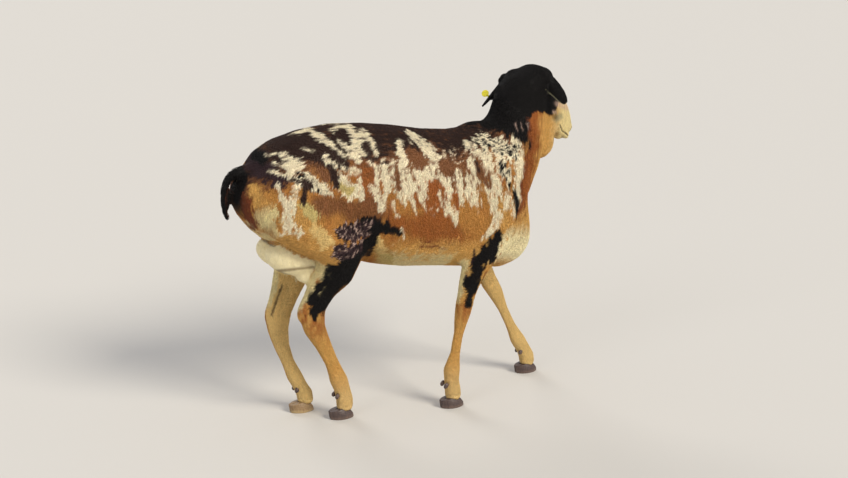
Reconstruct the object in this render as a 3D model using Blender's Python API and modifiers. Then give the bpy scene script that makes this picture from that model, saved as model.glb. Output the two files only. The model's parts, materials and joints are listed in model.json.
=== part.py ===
"""A standing berber ewe, life size, as a museum model parted where a person names its parts.

Metres, +Z up. +X is the way the body faces and +Y is the animal's left. The finished
model stands with the soles of its claws at Z = 0, with the middle of its box over the origin.
"""

import math

import bmesh
import bpy
import numpy as np
from mathutils import Matrix, Vector

GAP = 0.0003
MERGE = 0.00001
BLOCK_SIZE = 4.0
MIDDLE_CLEARANCE = 0.0005
SIDES = 20
HEAD_SIDES = 24
TAIL_SIDES = 12
BODY_VOXEL = 0.006
HEAD_MASS_VOXEL = 0.005
HEAD_VOXEL = 0.003
MASS_TRIANGLES = 20000
BODY_TRIANGLES = 4600
HEAD_TRIANGLES = 2400
UDDER_VOXEL = 0.004
UDDER_TRIANGLES = 600
# Passes of smoothing over each joined skin, and how square each kind of section is.
PASSES = {"body": 6, "head_masses": 20, "head": 5, "udder": 3}
SQUARENESS = {"torso": 2.2, "limb": 2.0, "head": 2.3}
EYE_RADIUS = 0.0125
HEAD_YAW = math.radians(27)
HEAD_PITCH = math.radians(38.5)
HEAD_CENTRE = Vector((0.565, 0.014, 0.799))
HEAD_SCALE = 1.05

# Torso, from pin bones to the point of the chest: station x, top, bottom, half width,
# and the height of the widest level as a share of the depth.
TORSO = (
    (-0.260, 0.618, 0.575, 0.035, 0.50),
    (-0.246, 0.636, 0.545, 0.066, 0.52),
    (-0.220, 0.668, 0.510, 0.094, 0.55),
    (-0.190, 0.708, 0.485, 0.110, 0.55),
    (-0.150, 0.730, 0.468, 0.120, 0.55),
    (-0.080, 0.749, 0.445, 0.130, 0.52),
    (0.000, 0.759, 0.421, 0.136, 0.50),
    (0.080, 0.755, 0.395, 0.144, 0.46),
    (0.160, 0.744, 0.378, 0.150, 0.42),
    (0.240, 0.728, 0.370, 0.150, 0.42),
    (0.320, 0.720, 0.359, 0.138, 0.44),
    (0.390, 0.724, 0.347, 0.124, 0.44),
    (0.450, 0.706, 0.338, 0.112, 0.42),
    (0.496, 0.635, 0.350, 0.098, 0.42),
    (0.518, 0.545, 0.370, 0.080, 0.42),
    (0.535, 0.480, 0.400, 0.050, 0.42),
)

# Neck: centre x, y, z, half depth fore and aft, half width.
NECK = (
    (0.440, 0.000, 0.590, 0.122, 0.092),
    (0.484, 0.000, 0.655, 0.106, 0.080),
    (0.516, 0.002, 0.710, 0.087, 0.069),
    (0.532, 0.006, 0.760, 0.084, 0.062),
    (0.540, 0.010, 0.800, 0.078, 0.058),
    (0.546, 0.012, 0.832, 0.056, 0.048),
)

# Head, along its own axis from the nape to the muzzle: station, top, bottom, half width.
HEAD = (
    (-0.070, 0.004, -0.024, 0.014),
    (-0.060, 0.026, -0.044, 0.034),
    (-0.040, 0.044, -0.058, 0.047),
    (-0.015, 0.053, -0.066, 0.053),
    (0.020, 0.057, -0.069, 0.054),
    (0.050, 0.055, -0.067, 0.050),
    (0.080, 0.055, -0.061, 0.042),
    (0.110, 0.056, -0.052, 0.035),
    (0.140, 0.053, -0.044, 0.031),
    (0.165, 0.043, -0.036, 0.029),
    (0.185, 0.028, -0.031, 0.027),
    (0.198, 0.011, -0.024, 0.020),
    (0.204, 0.001, -0.018, 0.010),
)

# Legs, from the top down: centre x, y, z, half depth fore and aft, half width.
HIND_RIGHT = (
    (-0.125, -0.070, 0.640, 0.080, 0.060),
    (-0.100, -0.085, 0.560, 0.112, 0.062),
    (-0.052, -0.090, 0.505, 0.080, 0.058),
    (-0.012, -0.086, 0.452, 0.066, 0.048),
    (-0.030, -0.076, 0.398, 0.051, 0.038),
    (-0.062, -0.066, 0.357, 0.040, 0.028),
    (-0.085, -0.058, 0.305, 0.036, 0.023),
    (-0.077, -0.053, 0.256, 0.030, 0.020),
    (-0.051, -0.047, 0.205, 0.022, 0.017),
    (-0.027, -0.044, 0.152, 0.019, 0.016),
    (-0.009, -0.041, 0.104, 0.024, 0.021),
    (0.002, -0.039, 0.074, 0.022, 0.020),
    (0.008, -0.037, 0.046, 0.024, 0.023),
    (0.008, -0.037, 0.016, 0.018, 0.017),
)
HIND_LEFT = (
    (-0.130, 0.070, 0.640, 0.080, 0.060),
    (-0.105, 0.085, 0.560, 0.108, 0.062),
    (-0.078, 0.090, 0.500, 0.100, 0.058),
    (-0.066, 0.085, 0.440, 0.074, 0.048),
    (-0.082, 0.076, 0.380, 0.052, 0.038),
    (-0.110, 0.066, 0.320, 0.040, 0.028),
    (-0.132, 0.060, 0.268, 0.035, 0.023),
    (-0.134, 0.057, 0.226, 0.029, 0.020),
    (-0.126, 0.054, 0.182, 0.0215, 0.017),
    (-0.111, 0.052, 0.138, 0.018, 0.016),
    (-0.095, 0.051, 0.098, 0.021, 0.020),
    (-0.081, 0.050, 0.070, 0.020, 0.019),
    (-0.068, 0.050, 0.046, 0.023, 0.023),
    (-0.065, 0.050, 0.016, 0.018, 0.017),
)
FORE_RIGHT = (
    (0.440, -0.085, 0.560, 0.060, 0.040),
    (0.420, -0.095, 0.490, 0.062, 0.040),
    (0.382, -0.098, 0.430, 0.052, 0.036),
    (0.352, -0.096, 0.380, 0.040, 0.030),
    (0.333, -0.093, 0.330, 0.030, 0.024),
    (0.322, -0.091, 0.282, 0.024, 0.021),
    (0.316, -0.090, 0.250, 0.022, 0.019),
    (0.306, -0.089, 0.200, 0.015, 0.013),
    (0.297, -0.087, 0.145, 0.0150, 0.0135),
    (0.288, -0.086, 0.100, 0.0235, 0.0200),
    (0.288, -0.085, 0.072, 0.0210, 0.0190),
    (0.292, -0.085, 0.046, 0.0230, 0.0230),
    (0.294, -0.085, 0.016, 0.0180, 0.0170),
)
FORE_LEFT = (
    (0.440, 0.085, 0.560, 0.060, 0.040),
    (0.425, 0.092, 0.490, 0.062, 0.040),
    (0.425, 0.090, 0.430, 0.052, 0.036),
    (0.440, 0.086, 0.370, 0.040, 0.030),
    (0.458, 0.082, 0.315, 0.030, 0.024),
    (0.482, 0.078, 0.268, 0.024, 0.021),
    (0.498, 0.075, 0.240, 0.022, 0.019),
    (0.521, 0.072, 0.190, 0.015, 0.013),
    (0.544, 0.070, 0.140, 0.0150, 0.0135),
    (0.566, 0.068, 0.096, 0.0215, 0.0195),
    (0.582, 0.067, 0.070, 0.0205, 0.0190),
    (0.594, 0.067, 0.046, 0.0230, 0.0230),
    (0.597, 0.067, 0.016, 0.0180, 0.0170),
)
# The station of each leg where it is parted, through the knee and the hock.
PARTED_AT = {"fore": 5, "hind": 6}
TAIL = (
    (-0.200, 0.000, 0.650, 0.022, 0.026),
    (-0.232, 0.000, 0.660, 0.018, 0.023),
    (-0.254, 0.000, 0.656, 0.013, 0.018),
    (-0.270, 0.000, 0.645, 0.011, 0.016),
    (-0.279, 0.000, 0.627, 0.010, 0.016),
    (-0.283, 0.000, 0.598, 0.009, 0.015),
    (-0.282, 0.000, 0.572, 0.009, 0.013),
    (-0.277, 0.000, 0.550, 0.008, 0.011),
    (-0.272, 0.000, 0.536, 0.005, 0.007),
)
# Ear: station along it, half width and depth of the cup.
EAR = (
    (0.000, 0.0135, 0.013),
    (0.014, 0.0155, 0.013),
    (0.028, 0.0168, 0.011),
    (0.046, 0.0168, 0.008),
    (0.064, 0.0150, 0.006),
    (0.080, 0.0110, 0.004),
    (0.092, 0.0050, 0.001),
)
EAR_THICKNESS = 0.004
EAR_COLUMNS = 7
# For each side, where the ear leaves the head, the way it runs and the way its width
# lies, the last two as they are before the head turns.
EAR_ROOT = {-1: (-0.024, -0.0364, 0.031), 1: (-0.044, 0.058, 0.005)}
EAR_CARRIAGE = {
    -1: ((-0.08, -0.80, -0.60), (0.62, -0.45, 0.64)),
    1: ((-0.40, 0.51, -0.76), (0.86, 0.50, -0.11)),
}
EAR_DROOP = 1.0
EAR_BASE = {
    -1: ((0.002, 0.0155), (0.014, 0.0130)),
    1: ((0.004, 0.0130), (0.014, 0.0120)),
}
TAG_RADIUS = 0.0097
TAG_ALONG = 0.064
TAG_FACING = (-0.41, -0.88, 0.26)
TAG_LEAN = 0.45
TAG_DROP = 0.75
TAG_SIDES = 20
# Stud, button and plate of the tag: radius, height and distance from the middle of the ear.
TAG_STUD = (0.0026, 0.0150, -0.0010)
TAG_BUTTON = (0.0060, 0.0016, 0.0060)
TAG_PLATE = (TAG_RADIUS, 0.0016, -0.0070)

# Muscles and bones that stand out, on both sides: centre, radii and tilt about the width.
SIDE_MASSES = (
    ("shoulder", (0.425, 0.075, 0.560), (0.085, 0.045, 0.120), 0.35),
    ("haunch", (-0.090, 0.075, 0.580), (0.130, 0.060, 0.120), 0.45),
)
THROAT = (0.584, 0.012, 0.672)
JAW_ANGLE = (0.596, 0.012, 0.722)
# Where the head joins the neck, on the head's own skin: centre, radii and tilt.
JOINING_MASSES = (
    ("jaw_angle", JAW_ANGLE, (0.050, 0.050, 0.058), 0.0),
    ("throat", THROAT, (0.048, 0.040, 0.062), -0.20),
)
SINGLE_MASSES = (
    ("throat", THROAT, (0.047, 0.039, 0.061), -0.20),
    ("hock_point_right", (-0.108, -0.058, 0.311), (0.015, 0.014, 0.034), 0.35),
    ("hock_point_left", (-0.153, 0.060, 0.268), (0.016, 0.014, 0.036), 0.0),
    ("withers", (0.395, 0.0, 0.690), (0.070, 0.050, 0.045), 0.0),
)
UDDER_SIDES = (
    ("bag", (-0.120, 0.034, 0.440), (0.076, 0.047, 0.046), 0.22),
    ("teat_base", (-0.089, 0.040, 0.396), (0.031, 0.026, 0.026), 0.0),
    ("teat", (-0.084, 0.047, 0.368), (0.010, 0.010, 0.020), -0.25),
)

# Forms of the head in its own frame, along the face, out to the side and up: the large
# ones blend softly, and the fine ones lie over them. Those that stand out to the side
# are mirrored.
EYE_AT = (0.052, 0.0405, 0.018)
HEAD_MASSES = (
    ("poll_side", (-0.008, 0.026, 0.031), (0.034, 0.025, 0.026), 0.0),
    ("cheek", (0.020, 0.030, -0.034), (0.052, 0.026, 0.042), 0.0),
    ("poll", (-0.008, 0.0, 0.026), (0.050, 0.047, 0.036), 0.0),
)
HEAD_DETAILS = (
    ("orbit", (0.052, 0.0375, 0.018), (0.019, 0.013, 0.016), 0.0),
    ("brow", (0.048, 0.0370, 0.030), (0.022, 0.014, 0.009), 0.0),
    ("jaw", (0.075, 0.019, -0.048), (0.055, 0.014, 0.014), -0.10),
    ("nostril_wing", (0.187, 0.014, 0.004), (0.016, 0.012, 0.014), 0.50),
    ("lip", (0.178, 0.015, -0.018), (0.024, 0.014, 0.010), 0.15),
    ("chin", (0.173, 0.0, -0.029), (0.020, 0.016, 0.010), 0.0),
    ("nose_bridge", (0.118, 0.0, 0.036), (0.062, 0.020, 0.024), 0.14),
)
# The pad under each ear: radii, its share of the root's distance out and up, and its shift
# forward and up.
EAR_PAD = (0.028, 0.027, 0.026)
EAR_PAD_SHARE = (0.62, 0.60)
EAR_PAD_SHIFT = (0.008, 0.004)
LID_OPENING = (0.0118, 0.0120, 0.0075)
LID_OFFSET = 0.010
LID_SLANT = 0.25
NOSTRIL_AT = (0.196, 0.015, 0.003)
NOSTRIL = (0.009, 0.0035, 0.0035)
NOSTRIL_TURN = (0.50, 0.75, 0.35)
MOUTH_LINE = ((0.135, -0.0200), (0.160, -0.0225), (0.185, -0.0210), (0.215, -0.0140))
MOUTH_HALF = 0.040
MOUTH_CUT = 0.0006
MOUTH_CORE = ((0.150, 0.0, -0.021), (0.046, 0.021, 0.016))

# Claws: for each level its height, its size as a share of the sole's and its shift back.
HOOF_LENGTH = 0.062
CLAW_WIDTH = 0.021
CLAW_APART = 0.0015
CLAW_STEPS = 9
# The outer wall is part of a sine wave: where it starts at the toe, how full it is, its
# width at the toe as a share, the least width and the inset of the inner wall's ends.
CLAW_TOE = 0.08
CLAW_FULLNESS = 0.55
CLAW_TOE_WIDTH = 0.80
CLAW_LEAST = 0.004
CLAW_INSET = 0.001
CLAW_LEVELS = (
    (0.000, 0.96, 0.000),
    (0.003, 1.00, 0.000),
    (0.012, 0.98, -0.001),
    (0.021, 0.90, -0.005),
    (0.030, 0.77, -0.010),
)
HEEL_SHARE = 0.72
CLAW_SETBACK = {"fore": 0.003, "hind": 0.010}
DEWCLAW_AT = (-0.0245, 0.0105, 0.017)
DEWCLAW = (0.0062, 0.0055, 0.0085)
DEWCLAW_TURN = (0, 0.5, 0)

# Faces that part the body, each a point and a normal.
NECK_CUT = ((0.500, 0.0, 0.6325), (-0.807, 0.0, -0.590))
HEAD_CUT = ((0.470, 0.0, 0.785), (0.725, 0.100, 0.680))
TAIL_ROOT = (((-0.232, 0.0, 0.680), (1.0, 0.0, -0.45)), ((0.0, 0.0, 0.632), (0.0, 0.0, -1.0)))
TAIL_FALL = (
    ((-0.2660, 0.0, 0.600), (1.0, 0.0, 0.04)),
    ((0.0, 0.0, 0.648), (0.0, 0.0, 1.0)),
    ((0.0, 0.0, 0.500), (0.0, 0.0, -1.0)),
)
# Those of a leg: height at the middle, then the slope toward the side, and the upright face.
LEG_TOP = {"hind": (0.425, 0.80), "fore": (0.3625, 0.75)}
LEG_FACE = {
    "hind": ((0.120, 0.0, 0.430), (1.0, 0.0, 0.45)),
    "fore": ((0.290, 0.0, 0.400), (-1.0, 0.0, 0.25)),
}
LEGS = {
    "fore_right": FORE_RIGHT,
    "fore_left": FORE_LEFT,
    "hind_right": HIND_RIGHT,
    "hind_left": HIND_LEFT,
}

# Colour and roughness of each material.
COLOURS = {
    "black_coat": (0.020, 0.016, 0.016, 0.80),
    "mottled_coat": (0.330, 0.170, 0.080, 0.80),
    "tan_coat": (0.560, 0.370, 0.150, 0.80),
    "cream_skin": (0.720, 0.620, 0.430, 0.65),
    "horn": (0.080, 0.060, 0.050, 0.50),
    "eye": (0.090, 0.050, 0.020, 0.15),
    "tag_plastic": (0.800, 0.720, 0.050, 0.40),
}


def clear_scene():
    for obj in list(bpy.data.objects):
        bpy.data.objects.remove(obj)


def collection(name):
    made = bpy.data.collections.new(name)
    bpy.context.scene.collection.children.link(made)
    return made


def material(name):
    red, green, blue, rough = COLOURS[name]
    made = bpy.data.materials.new(name)
    made.use_nodes = True
    shader = made.node_tree.nodes["Principled BSDF"]
    shader.inputs["Base Color"].default_value = (red, green, blue, 1.0)
    shader.inputs["Roughness"].default_value = rough
    shader.inputs["Metallic"].default_value = 0.0
    return made


def new_object(name, mesh, where):
    obj = bpy.data.objects.new(name, mesh)
    where.objects.link(obj)
    return obj


def mesh_from(bm, name):
    bmesh.ops.recalc_face_normals(bm, faces=bm.faces)
    mesh = bpy.data.meshes.new(name)
    bm.to_mesh(mesh)
    bm.free()
    return mesh


def ring(centre, across, along, half_across, up, down, sides, power):
    """A closed section: an oval whose upper and lower halves may differ."""
    points = []
    for step in range(sides):
        angle = 2 * math.pi * step / sides
        c = math.cos(angle)
        s = math.sin(angle)
        side = math.copysign(abs(c) ** (2 / power), c) * half_across
        rise = math.copysign(abs(s) ** (2 / power), s) * (up if s > 0 else down)
        points.append(centre + across * side + along * rise)
    return points


def loft(name, rings):
    """A closed skin through rings of equal count, with a fan at each end."""
    bm = bmesh.new()
    rows = [[bm.verts.new(point) for point in one] for one in rings]
    for low, high in zip(rows, rows[1:]):
        count = len(low)
        for i in range(count):
            j = (i + 1) % count
            bm.faces.new((low[i], low[j], high[j], high[i]))
    for row in (rows[0], rows[-1]):
        middle = bm.verts.new(sum((v.co for v in row), Vector()) / len(row))
        for i in range(len(row)):
            bm.faces.new((row[i], row[(i + 1) % len(row)], middle))
    return mesh_from(bm, name)


def limb(name, stations, sides=SIDES):
    """A tube along a bent path; each section stands square to the path."""
    centres = [Vector(row[:3]) for row in stations]
    rings = []
    for i, row in enumerate(stations):
        ahead = centres[min(i + 1, len(centres) - 1)]
        behind = centres[max(i - 1, 0)]
        run = (ahead - behind).normalized()
        side = Vector((0, 1, 0))
        side = (side - run * side.dot(run)).normalized()
        fore = run.cross(side).normalized()
        rings.append(ring(centres[i], side, fore, row[4], row[3], row[3], sides, SQUARENESS["limb"]))
    return loft(name, rings)


def torso_mesh():
    rings = []
    for x, top, bottom, half, level in TORSO:
        widest = bottom + (top - bottom) * level
        centre = Vector((x, 0, widest))
        reach = (half, top - widest, widest - bottom)
        rings.append(ring(centre, Vector((0, 1, 0)), Vector((0, 0, 1)), *reach, SIDES, SQUARENESS["torso"]))
    return loft("torso_form", rings)


def ball(name, centre, radii, turn=(0, 0, 0), segments=16, rings=10):
    bm = bmesh.new()
    bmesh.ops.create_uvsphere(bm, u_segments=segments, v_segments=rings, radius=1.0)
    turned = Matrix.Translation(centre)
    for angle, axis in zip(reversed(turn), "ZYX"):
        turned = turned @ Matrix.Rotation(angle, 4, axis)
    bmesh.ops.transform(bm, matrix=turned @ Matrix.Diagonal((*radii, 1.0)), verts=bm.verts)
    return mesh_from(bm, name)


def sides_of(centre):
    """The centre alone where it is on the middle plane, or it and its mirror image."""
    if centre[1] == 0:
        return (centre,)
    return (centre[0], -centre[1], centre[2]), centre


def joined(name, meshes):
    bm = bmesh.new()
    for mesh in meshes:
        bm.from_mesh(mesh)
        bpy.data.meshes.remove(mesh)
    mesh = bpy.data.meshes.new(name)
    bm.to_mesh(mesh)
    bm.free()
    return mesh


def evaluated(obj):
    graph = bpy.context.evaluated_depsgraph_get()
    return bpy.data.meshes.new_from_object(obj.evaluated_get(graph), depsgraph=graph)


def one_skin(name, meshes, voxel, triangles, helpers, passes):
    """Joins overlapping forms in one smooth skin of about the given number of triangles."""
    obj = new_object(name, joined(name, meshes), helpers)
    remesh = obj.modifiers.new("one_skin", "REMESH")
    remesh.mode = "VOXEL"
    remesh.voxel_size = voxel
    smooth = obj.modifiers.new("soften", "SMOOTH")
    smooth.factor = 0.5
    smooth.iterations = passes
    bpy.context.view_layer.update()
    dense = evaluated(obj)
    dense.calc_loop_triangles()
    have = len(dense.loop_triangles)
    thin = obj.modifiers.new("thin_out", "DECIMATE")
    thin.ratio = min(1.0, triangles / have)
    thin.use_collapse_triangulate = True
    bpy.context.view_layer.update()
    mesh = evaluated(obj)
    bpy.data.meshes.remove(dense)
    old = obj.data
    obj.modifiers.clear()
    obj.data = mesh
    bpy.data.meshes.remove(old)
    hide(obj)
    return obj


def hide(obj):
    obj.hide_render = True
    obj.display_type = "WIRE"


def region(name, planes, helpers, grow=0.0):
    """The block behind every plane, each a point and an outward normal."""
    bm = bmesh.new()
    bmesh.ops.create_cube(bm, size=BLOCK_SIZE)
    for point, normal in planes:
        out = Vector(normal).normalized()
        geometry = bm.verts[:] + bm.edges[:] + bm.faces[:]
        at = Vector(point) + out * grow
        cut = bmesh.ops.bisect_plane(bm, geom=geometry, plane_co=at, plane_no=out, clear_outer=True)
        edges = [item for item in cut["geom_cut"] if isinstance(item, bmesh.types.BMEdge)]
        bmesh.ops.contextual_create(bm, geom=edges)
    obj = new_object(name, mesh_from(bm, name), helpers)
    hide(obj)
    return obj


def grown(obj, helpers, by=GAP):
    """A helper a little larger all round, which leaves the gap between neighbours."""
    mesh = obj.data.copy()
    other = new_object(obj.name + "_grown", mesh, helpers)
    other.matrix_world = obj.matrix_world
    push = other.modifiers.new("grow", "DISPLACE")
    push.strength = by
    push.mid_level = 0.0
    hide(other)
    return other


def largest_body(mesh):
    """Keeps the biggest closed surface and drops the slivers that a cut can leave."""
    bm = bmesh.new()
    bm.from_mesh(mesh)
    bmesh.ops.remove_doubles(bm, verts=bm.verts, dist=MERGE)
    bmesh.ops.dissolve_degenerate(bm, edges=bm.edges, dist=MERGE)
    bm.verts.ensure_lookup_table()
    seen = set()
    islands = []
    for vert in bm.verts:
        if vert in seen:
            continue
        island = set()
        stack = [vert]
        while stack:
            one = stack.pop()
            if one in island:
                continue
            island.add(one)
            stack.extend(edge.other_vert(one) for edge in one.link_edges)
        seen |= island
        islands.append(island)
    islands.sort(key=len)
    spare = [vert for island in islands[:-1] for vert in island]
    bmesh.ops.delete(bm, geom=spare, context="VERTS")
    bmesh.ops.triangulate(bm, faces=bm.faces)
    bm.to_mesh(mesh)
    bm.free()


def carved(name, source, steps, where, looks):
    """A copy of the source after its cuts, as a node of its own."""
    obj = new_object(name, source.data.copy(), where)
    for operation, other in steps:
        cut = obj.modifiers.new(other.name, "BOOLEAN")
        cut.operation = operation
        cut.object = other
        cut.solver = "EXACT"
    bpy.context.view_layer.update()
    mesh = evaluated(obj)
    old = obj.data
    obj.modifiers.clear()
    obj.data = mesh
    bpy.data.meshes.remove(old)
    largest_body(mesh)
    mesh.name = name
    dress(obj, looks)
    return obj


def dress(obj, look):
    obj.data.materials.clear()
    obj.data.materials.append(look)
    obj.data.shade_smooth()


def head_frame():
    """Axes of the head: forward along the face, left, and up from the forehead."""
    yaw = Matrix.Rotation(HEAD_YAW, 3, "Z")
    forward = yaw @ Vector((math.cos(HEAD_PITCH), 0, -math.sin(HEAD_PITCH)))
    left = yaw @ Vector((0, 1, 0))
    up = forward.cross(left)
    return forward, left, up


def on_head(along, left, up):
    axes = head_frame()
    return HEAD_CENTRE + (axes[0] * along + axes[1] * left + axes[2] * up) * HEAD_SCALE


def head_matrix():
    forward, left, up = head_frame()
    turned = Matrix((forward, left, up)).transposed().to_4x4()
    return Matrix.Translation(HEAD_CENTRE) @ turned @ Matrix.Scale(HEAD_SCALE, 4)


def head_form():
    forward, left, up = head_frame()
    rings = []
    for along, top, bottom, half in HEAD:
        middle = (top + bottom) / 2
        reach = (top - middle) * HEAD_SCALE
        centre = on_head(along, 0, middle)
        width = half * HEAD_SCALE
        rings.append(ring(centre, left, up, width, reach, reach, HEAD_SIDES, SQUARENESS["head"]))
    return loft("head_form", rings)


def head_ball(name, centre, radii, turn=(0, 0, 0)):
    """A rounded form placed in the head's own frame."""
    mesh = ball(name, Vector(centre), radii, turn)
    mesh.transform(head_matrix())
    return mesh


def head_masses():
    """The large forms of the head and throat, which blend softly into each other."""
    forms = [head_form(), limb("nape_form", NECK[1:], HEAD_SIDES)]
    for back, out, up in EAR_ROOT.values():
        pad_out = out * EAR_PAD_SHARE[0]
        pad_up = up * EAR_PAD_SHARE[1] + EAR_PAD_SHIFT[1]
        forms.append(head_ball("ear_pad", (back + EAR_PAD_SHIFT[0], pad_out, pad_up), EAR_PAD))
    for name, centre, radii, tilt in HEAD_MASSES:
        for place in sides_of(centre):
            forms.append(head_ball(name, place, radii, (0, tilt, 0)))
    for name, centre, radii, tilt in JOINING_MASSES:
        forms.append(ball(name, Vector(centre), radii, (0, tilt, 0)))
    return forms


def head_details():
    """Brows, ear roots, jaw, lips and nostril wings, each pair mirrored, and the nose and chin."""
    forms = []
    for name, centre, radii, tilt in HEAD_DETAILS:
        for place in sides_of(centre):
            forms.append(head_ball(name, place, radii, (0, tilt, 0)))
    for side, steps in EAR_BASE.items():
        for reach, thick in steps:
            forms.append(ball("ear_base", ear_point(ear_axes(side), reach, 0.0), (thick,) * 3))
    return forms


def eye_socket_cutters(helpers):
    """For each side the hollow that holds the eyeball, and the opening between the lids."""
    cutters = []
    for side in (-1, 1):
        along, out, up = EYE_AT
        centre = (along, side * out, up)
        hollow = head_ball("socket", centre, (EYE_RADIUS + GAP,) * 3)
        opening = (along, side * (out + LID_OFFSET), up)
        slot = head_ball("lids", opening, LID_OPENING, (0, LID_SLANT, 0))
        for mesh in (hollow, slot):
            obj = new_object(mesh.name, mesh, helpers)
            hide(obj)
            cutters.append(("DIFFERENCE", obj))
    return cutters


def mouth_cutter(helpers):
    """A thin curved blade that parts the lips from the tip back to the corners."""
    rings = []
    for along, up in MOUTH_LINE:
        low = [on_head(along, left, up - MOUTH_CUT) for left in (-MOUTH_HALF, MOUTH_HALF)]
        high = [on_head(along, left, up + MOUTH_CUT) for left in (MOUTH_HALF, -MOUTH_HALF)]
        rings.append(low + high)
    blade = new_object("mouth_blade", loft("mouth_blade", rings), helpers)
    core = new_object("mouth_core", head_ball("mouth_core", *MOUTH_CORE), helpers)
    hide(core)
    cut = blade.modifiers.new("keep_core", "BOOLEAN")
    cut.operation = "DIFFERENCE"
    cut.object = core
    hide(blade)
    return ("DIFFERENCE", blade)


def nostril_cutters(helpers):
    cutters = []
    for side in (-1, 1):
        along, out, up = NOSTRIL_AT
        roll, pitch, toe_in = NOSTRIL_TURN
        turn = (side * roll, pitch, side * toe_in)
        mesh = head_ball("nostril", (along, side * out, up), NOSTRIL, turn)
        obj = new_object(mesh.name, mesh, helpers)
        hide(obj)
        cutters.append(("DIFFERENCE", obj))
    return cutters


def ear_form(side):
    """A cupped leaf: an open sheet that droops from the side of the poll.

    The right ear hangs out to the side, the left one lower and further back.
    """
    axes = ear_axes(side)
    bm = bmesh.new()
    rows = []
    for along, half, cup in EAR:
        row = []
        for k in range(EAR_COLUMNS):
            t = 2 * k / (EAR_COLUMNS - 1) - 1
            at = ear_point(axes, along, half * t) + axes[3] * (cup * t * t)
            row.append(bm.verts.new(at))
        rows.append(row)
    for low, high in zip(rows, rows[1:]):
        for k in range(EAR_COLUMNS - 1):
            bm.faces.new((low[k], low[k + 1], high[k + 1], high[k]))
    return mesh_from(bm, "ear_form")


def ear(side, name, cuts, where, helpers, look):
    obj = new_object(name + "_form", ear_form(side), helpers)
    thick = obj.modifiers.new("thickness", "SOLIDIFY")
    thick.thickness = EAR_THICKNESS
    thick.offset = 0.0
    bpy.context.view_layer.update()
    mesh = evaluated(obj)
    obj.modifiers.clear()
    obj.data = mesh
    hide(obj)
    return carved(name, obj, cuts, where, look)


def ear_axes(side):
    """Root of the ear and its axes: outward run, width, and the way its cup opens."""
    turn = Matrix.Rotation(HEAD_YAW, 3, "Z")
    run, wide = (turn @ Vector(axis) for axis in EAR_CARRIAGE[side])
    run.normalize()
    wide = (wide - run * wide.dot(run)).normalized()
    deep = run.cross(wide).normalized()
    if deep.z > 0:
        deep = -deep
    return on_head(*EAR_ROOT[side]), run, wide, deep


def ear_point(axes, along, across):
    """The middle of the ear's leaf at a distance along it and across it, before its cup."""
    root, run, wide, deep = axes
    return root + run * along + wide * across + Vector((0, 0, -EAR_DROOP * along**2))


def disc(name, centre, facing, radius, height, helpers):
    bm = bmesh.new()
    size = {"radius1": radius, "radius2": radius, "depth": height}
    bmesh.ops.create_cone(bm, cap_ends=True, segments=TAG_SIDES, **size)
    turned = facing.to_track_quat("Z", "Y").to_matrix().to_4x4()
    bmesh.ops.transform(bm, matrix=Matrix.Translation(centre) @ turned, verts=bm.verts)
    obj = new_object(name, mesh_from(bm, name), helpers)
    hide(obj)
    return obj


def tag_parts(helpers):
    """A round tag: a stud through the left ear, a button inside it and a disc behind it."""
    axes = ear_axes(1)
    deep = axes[3]
    hole = ear_point(axes, TAG_ALONG, 0.0)
    facing = (-deep * TAG_LEAN + Vector(TAG_FACING)).normalized()
    out = (-deep - facing * facing.dot(-deep)).normalized()
    placed = (
        ("tag_stud", TAG_STUD, deep, Vector()),
        ("tag_button", TAG_BUTTON, deep, Vector()),
        ("tag_plate", TAG_PLATE, facing, out * TAG_RADIUS * TAG_DROP),
    )
    made = []
    for name, (radius, height, away), toward, shift in placed:
        made.append(disc(name, hole + deep * away + shift, toward, radius, height, helpers))
    return made


def claw_outline():
    """The sole of one claw: a curved outer wall from toe to heel and a flat inner wall."""
    outer = []
    for k in range(CLAW_STEPS):
        t = k / (CLAW_STEPS - 1)
        wave = min(1.0, t * (1 - CLAW_TOE) + CLAW_TOE)
        bulge = math.sin(math.pi * wave) ** CLAW_FULLNESS
        widening = CLAW_TOE_WIDTH + (1 - CLAW_TOE_WIDTH) * t
        outer.append((HOOF_LENGTH * (0.5 - t), max(CLAW_WIDTH * bulge * widening, CLAW_LEAST)))
    inset = HOOF_LENGTH * 0.5 - CLAW_INSET
    return outer + [(-inset, 0.0), (0.0, 0.0), (inset, 0.0)]


def claw_mesh(centre, side):
    """One of the two claws: a flat sole, a sloping toe, a low heel and a flat inner wall."""
    rings = []
    for height, size, shift in CLAW_LEVELS:
        points = []
        for x, y in claw_outline():
            lift = height * (HEEL_SHARE + (1 - HEEL_SHARE) * (x / HOOF_LENGTH + 0.5))
            out = side * (CLAW_APART + y * size)
            points.append(Vector(centre) + Vector((x * size + shift, out, lift)))
        rings.append(points)
    return loft("claw_form", rings)


def udder_form():
    forms = []
    for name, centre, radii, tilt in UDDER_SIDES:
        for place in sides_of(centre):
            forms.append(ball(name, Vector(place), radii, (0, tilt, 0)))
    return forms


def leg_planes(name):
    """The faces that part a leg from the torso."""
    pair = name.split("_")[0]
    side = -1 if name.endswith("right") else 1
    height, slope = LEG_TOP[pair]
    middle = ((0, MIDDLE_CLEARANCE * side, 0), (0, -side, 0))
    top = ((0, 0, height), (0, -side * slope, 1.0))
    return [middle, top, LEG_FACE[pair]]


def tail_region(name, helpers, grow):
    """The space of the tail: behind a slanted face at its root, and clear of the rump below."""
    upper = region(name, TAIL_ROOT, helpers, grow)
    lower = region(name + "_fall", TAIL_FALL, helpers, grow)
    join = upper.modifiers.new("fall", "BOOLEAN")
    join.operation = "UNION"
    join.object = lower
    return upper


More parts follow.
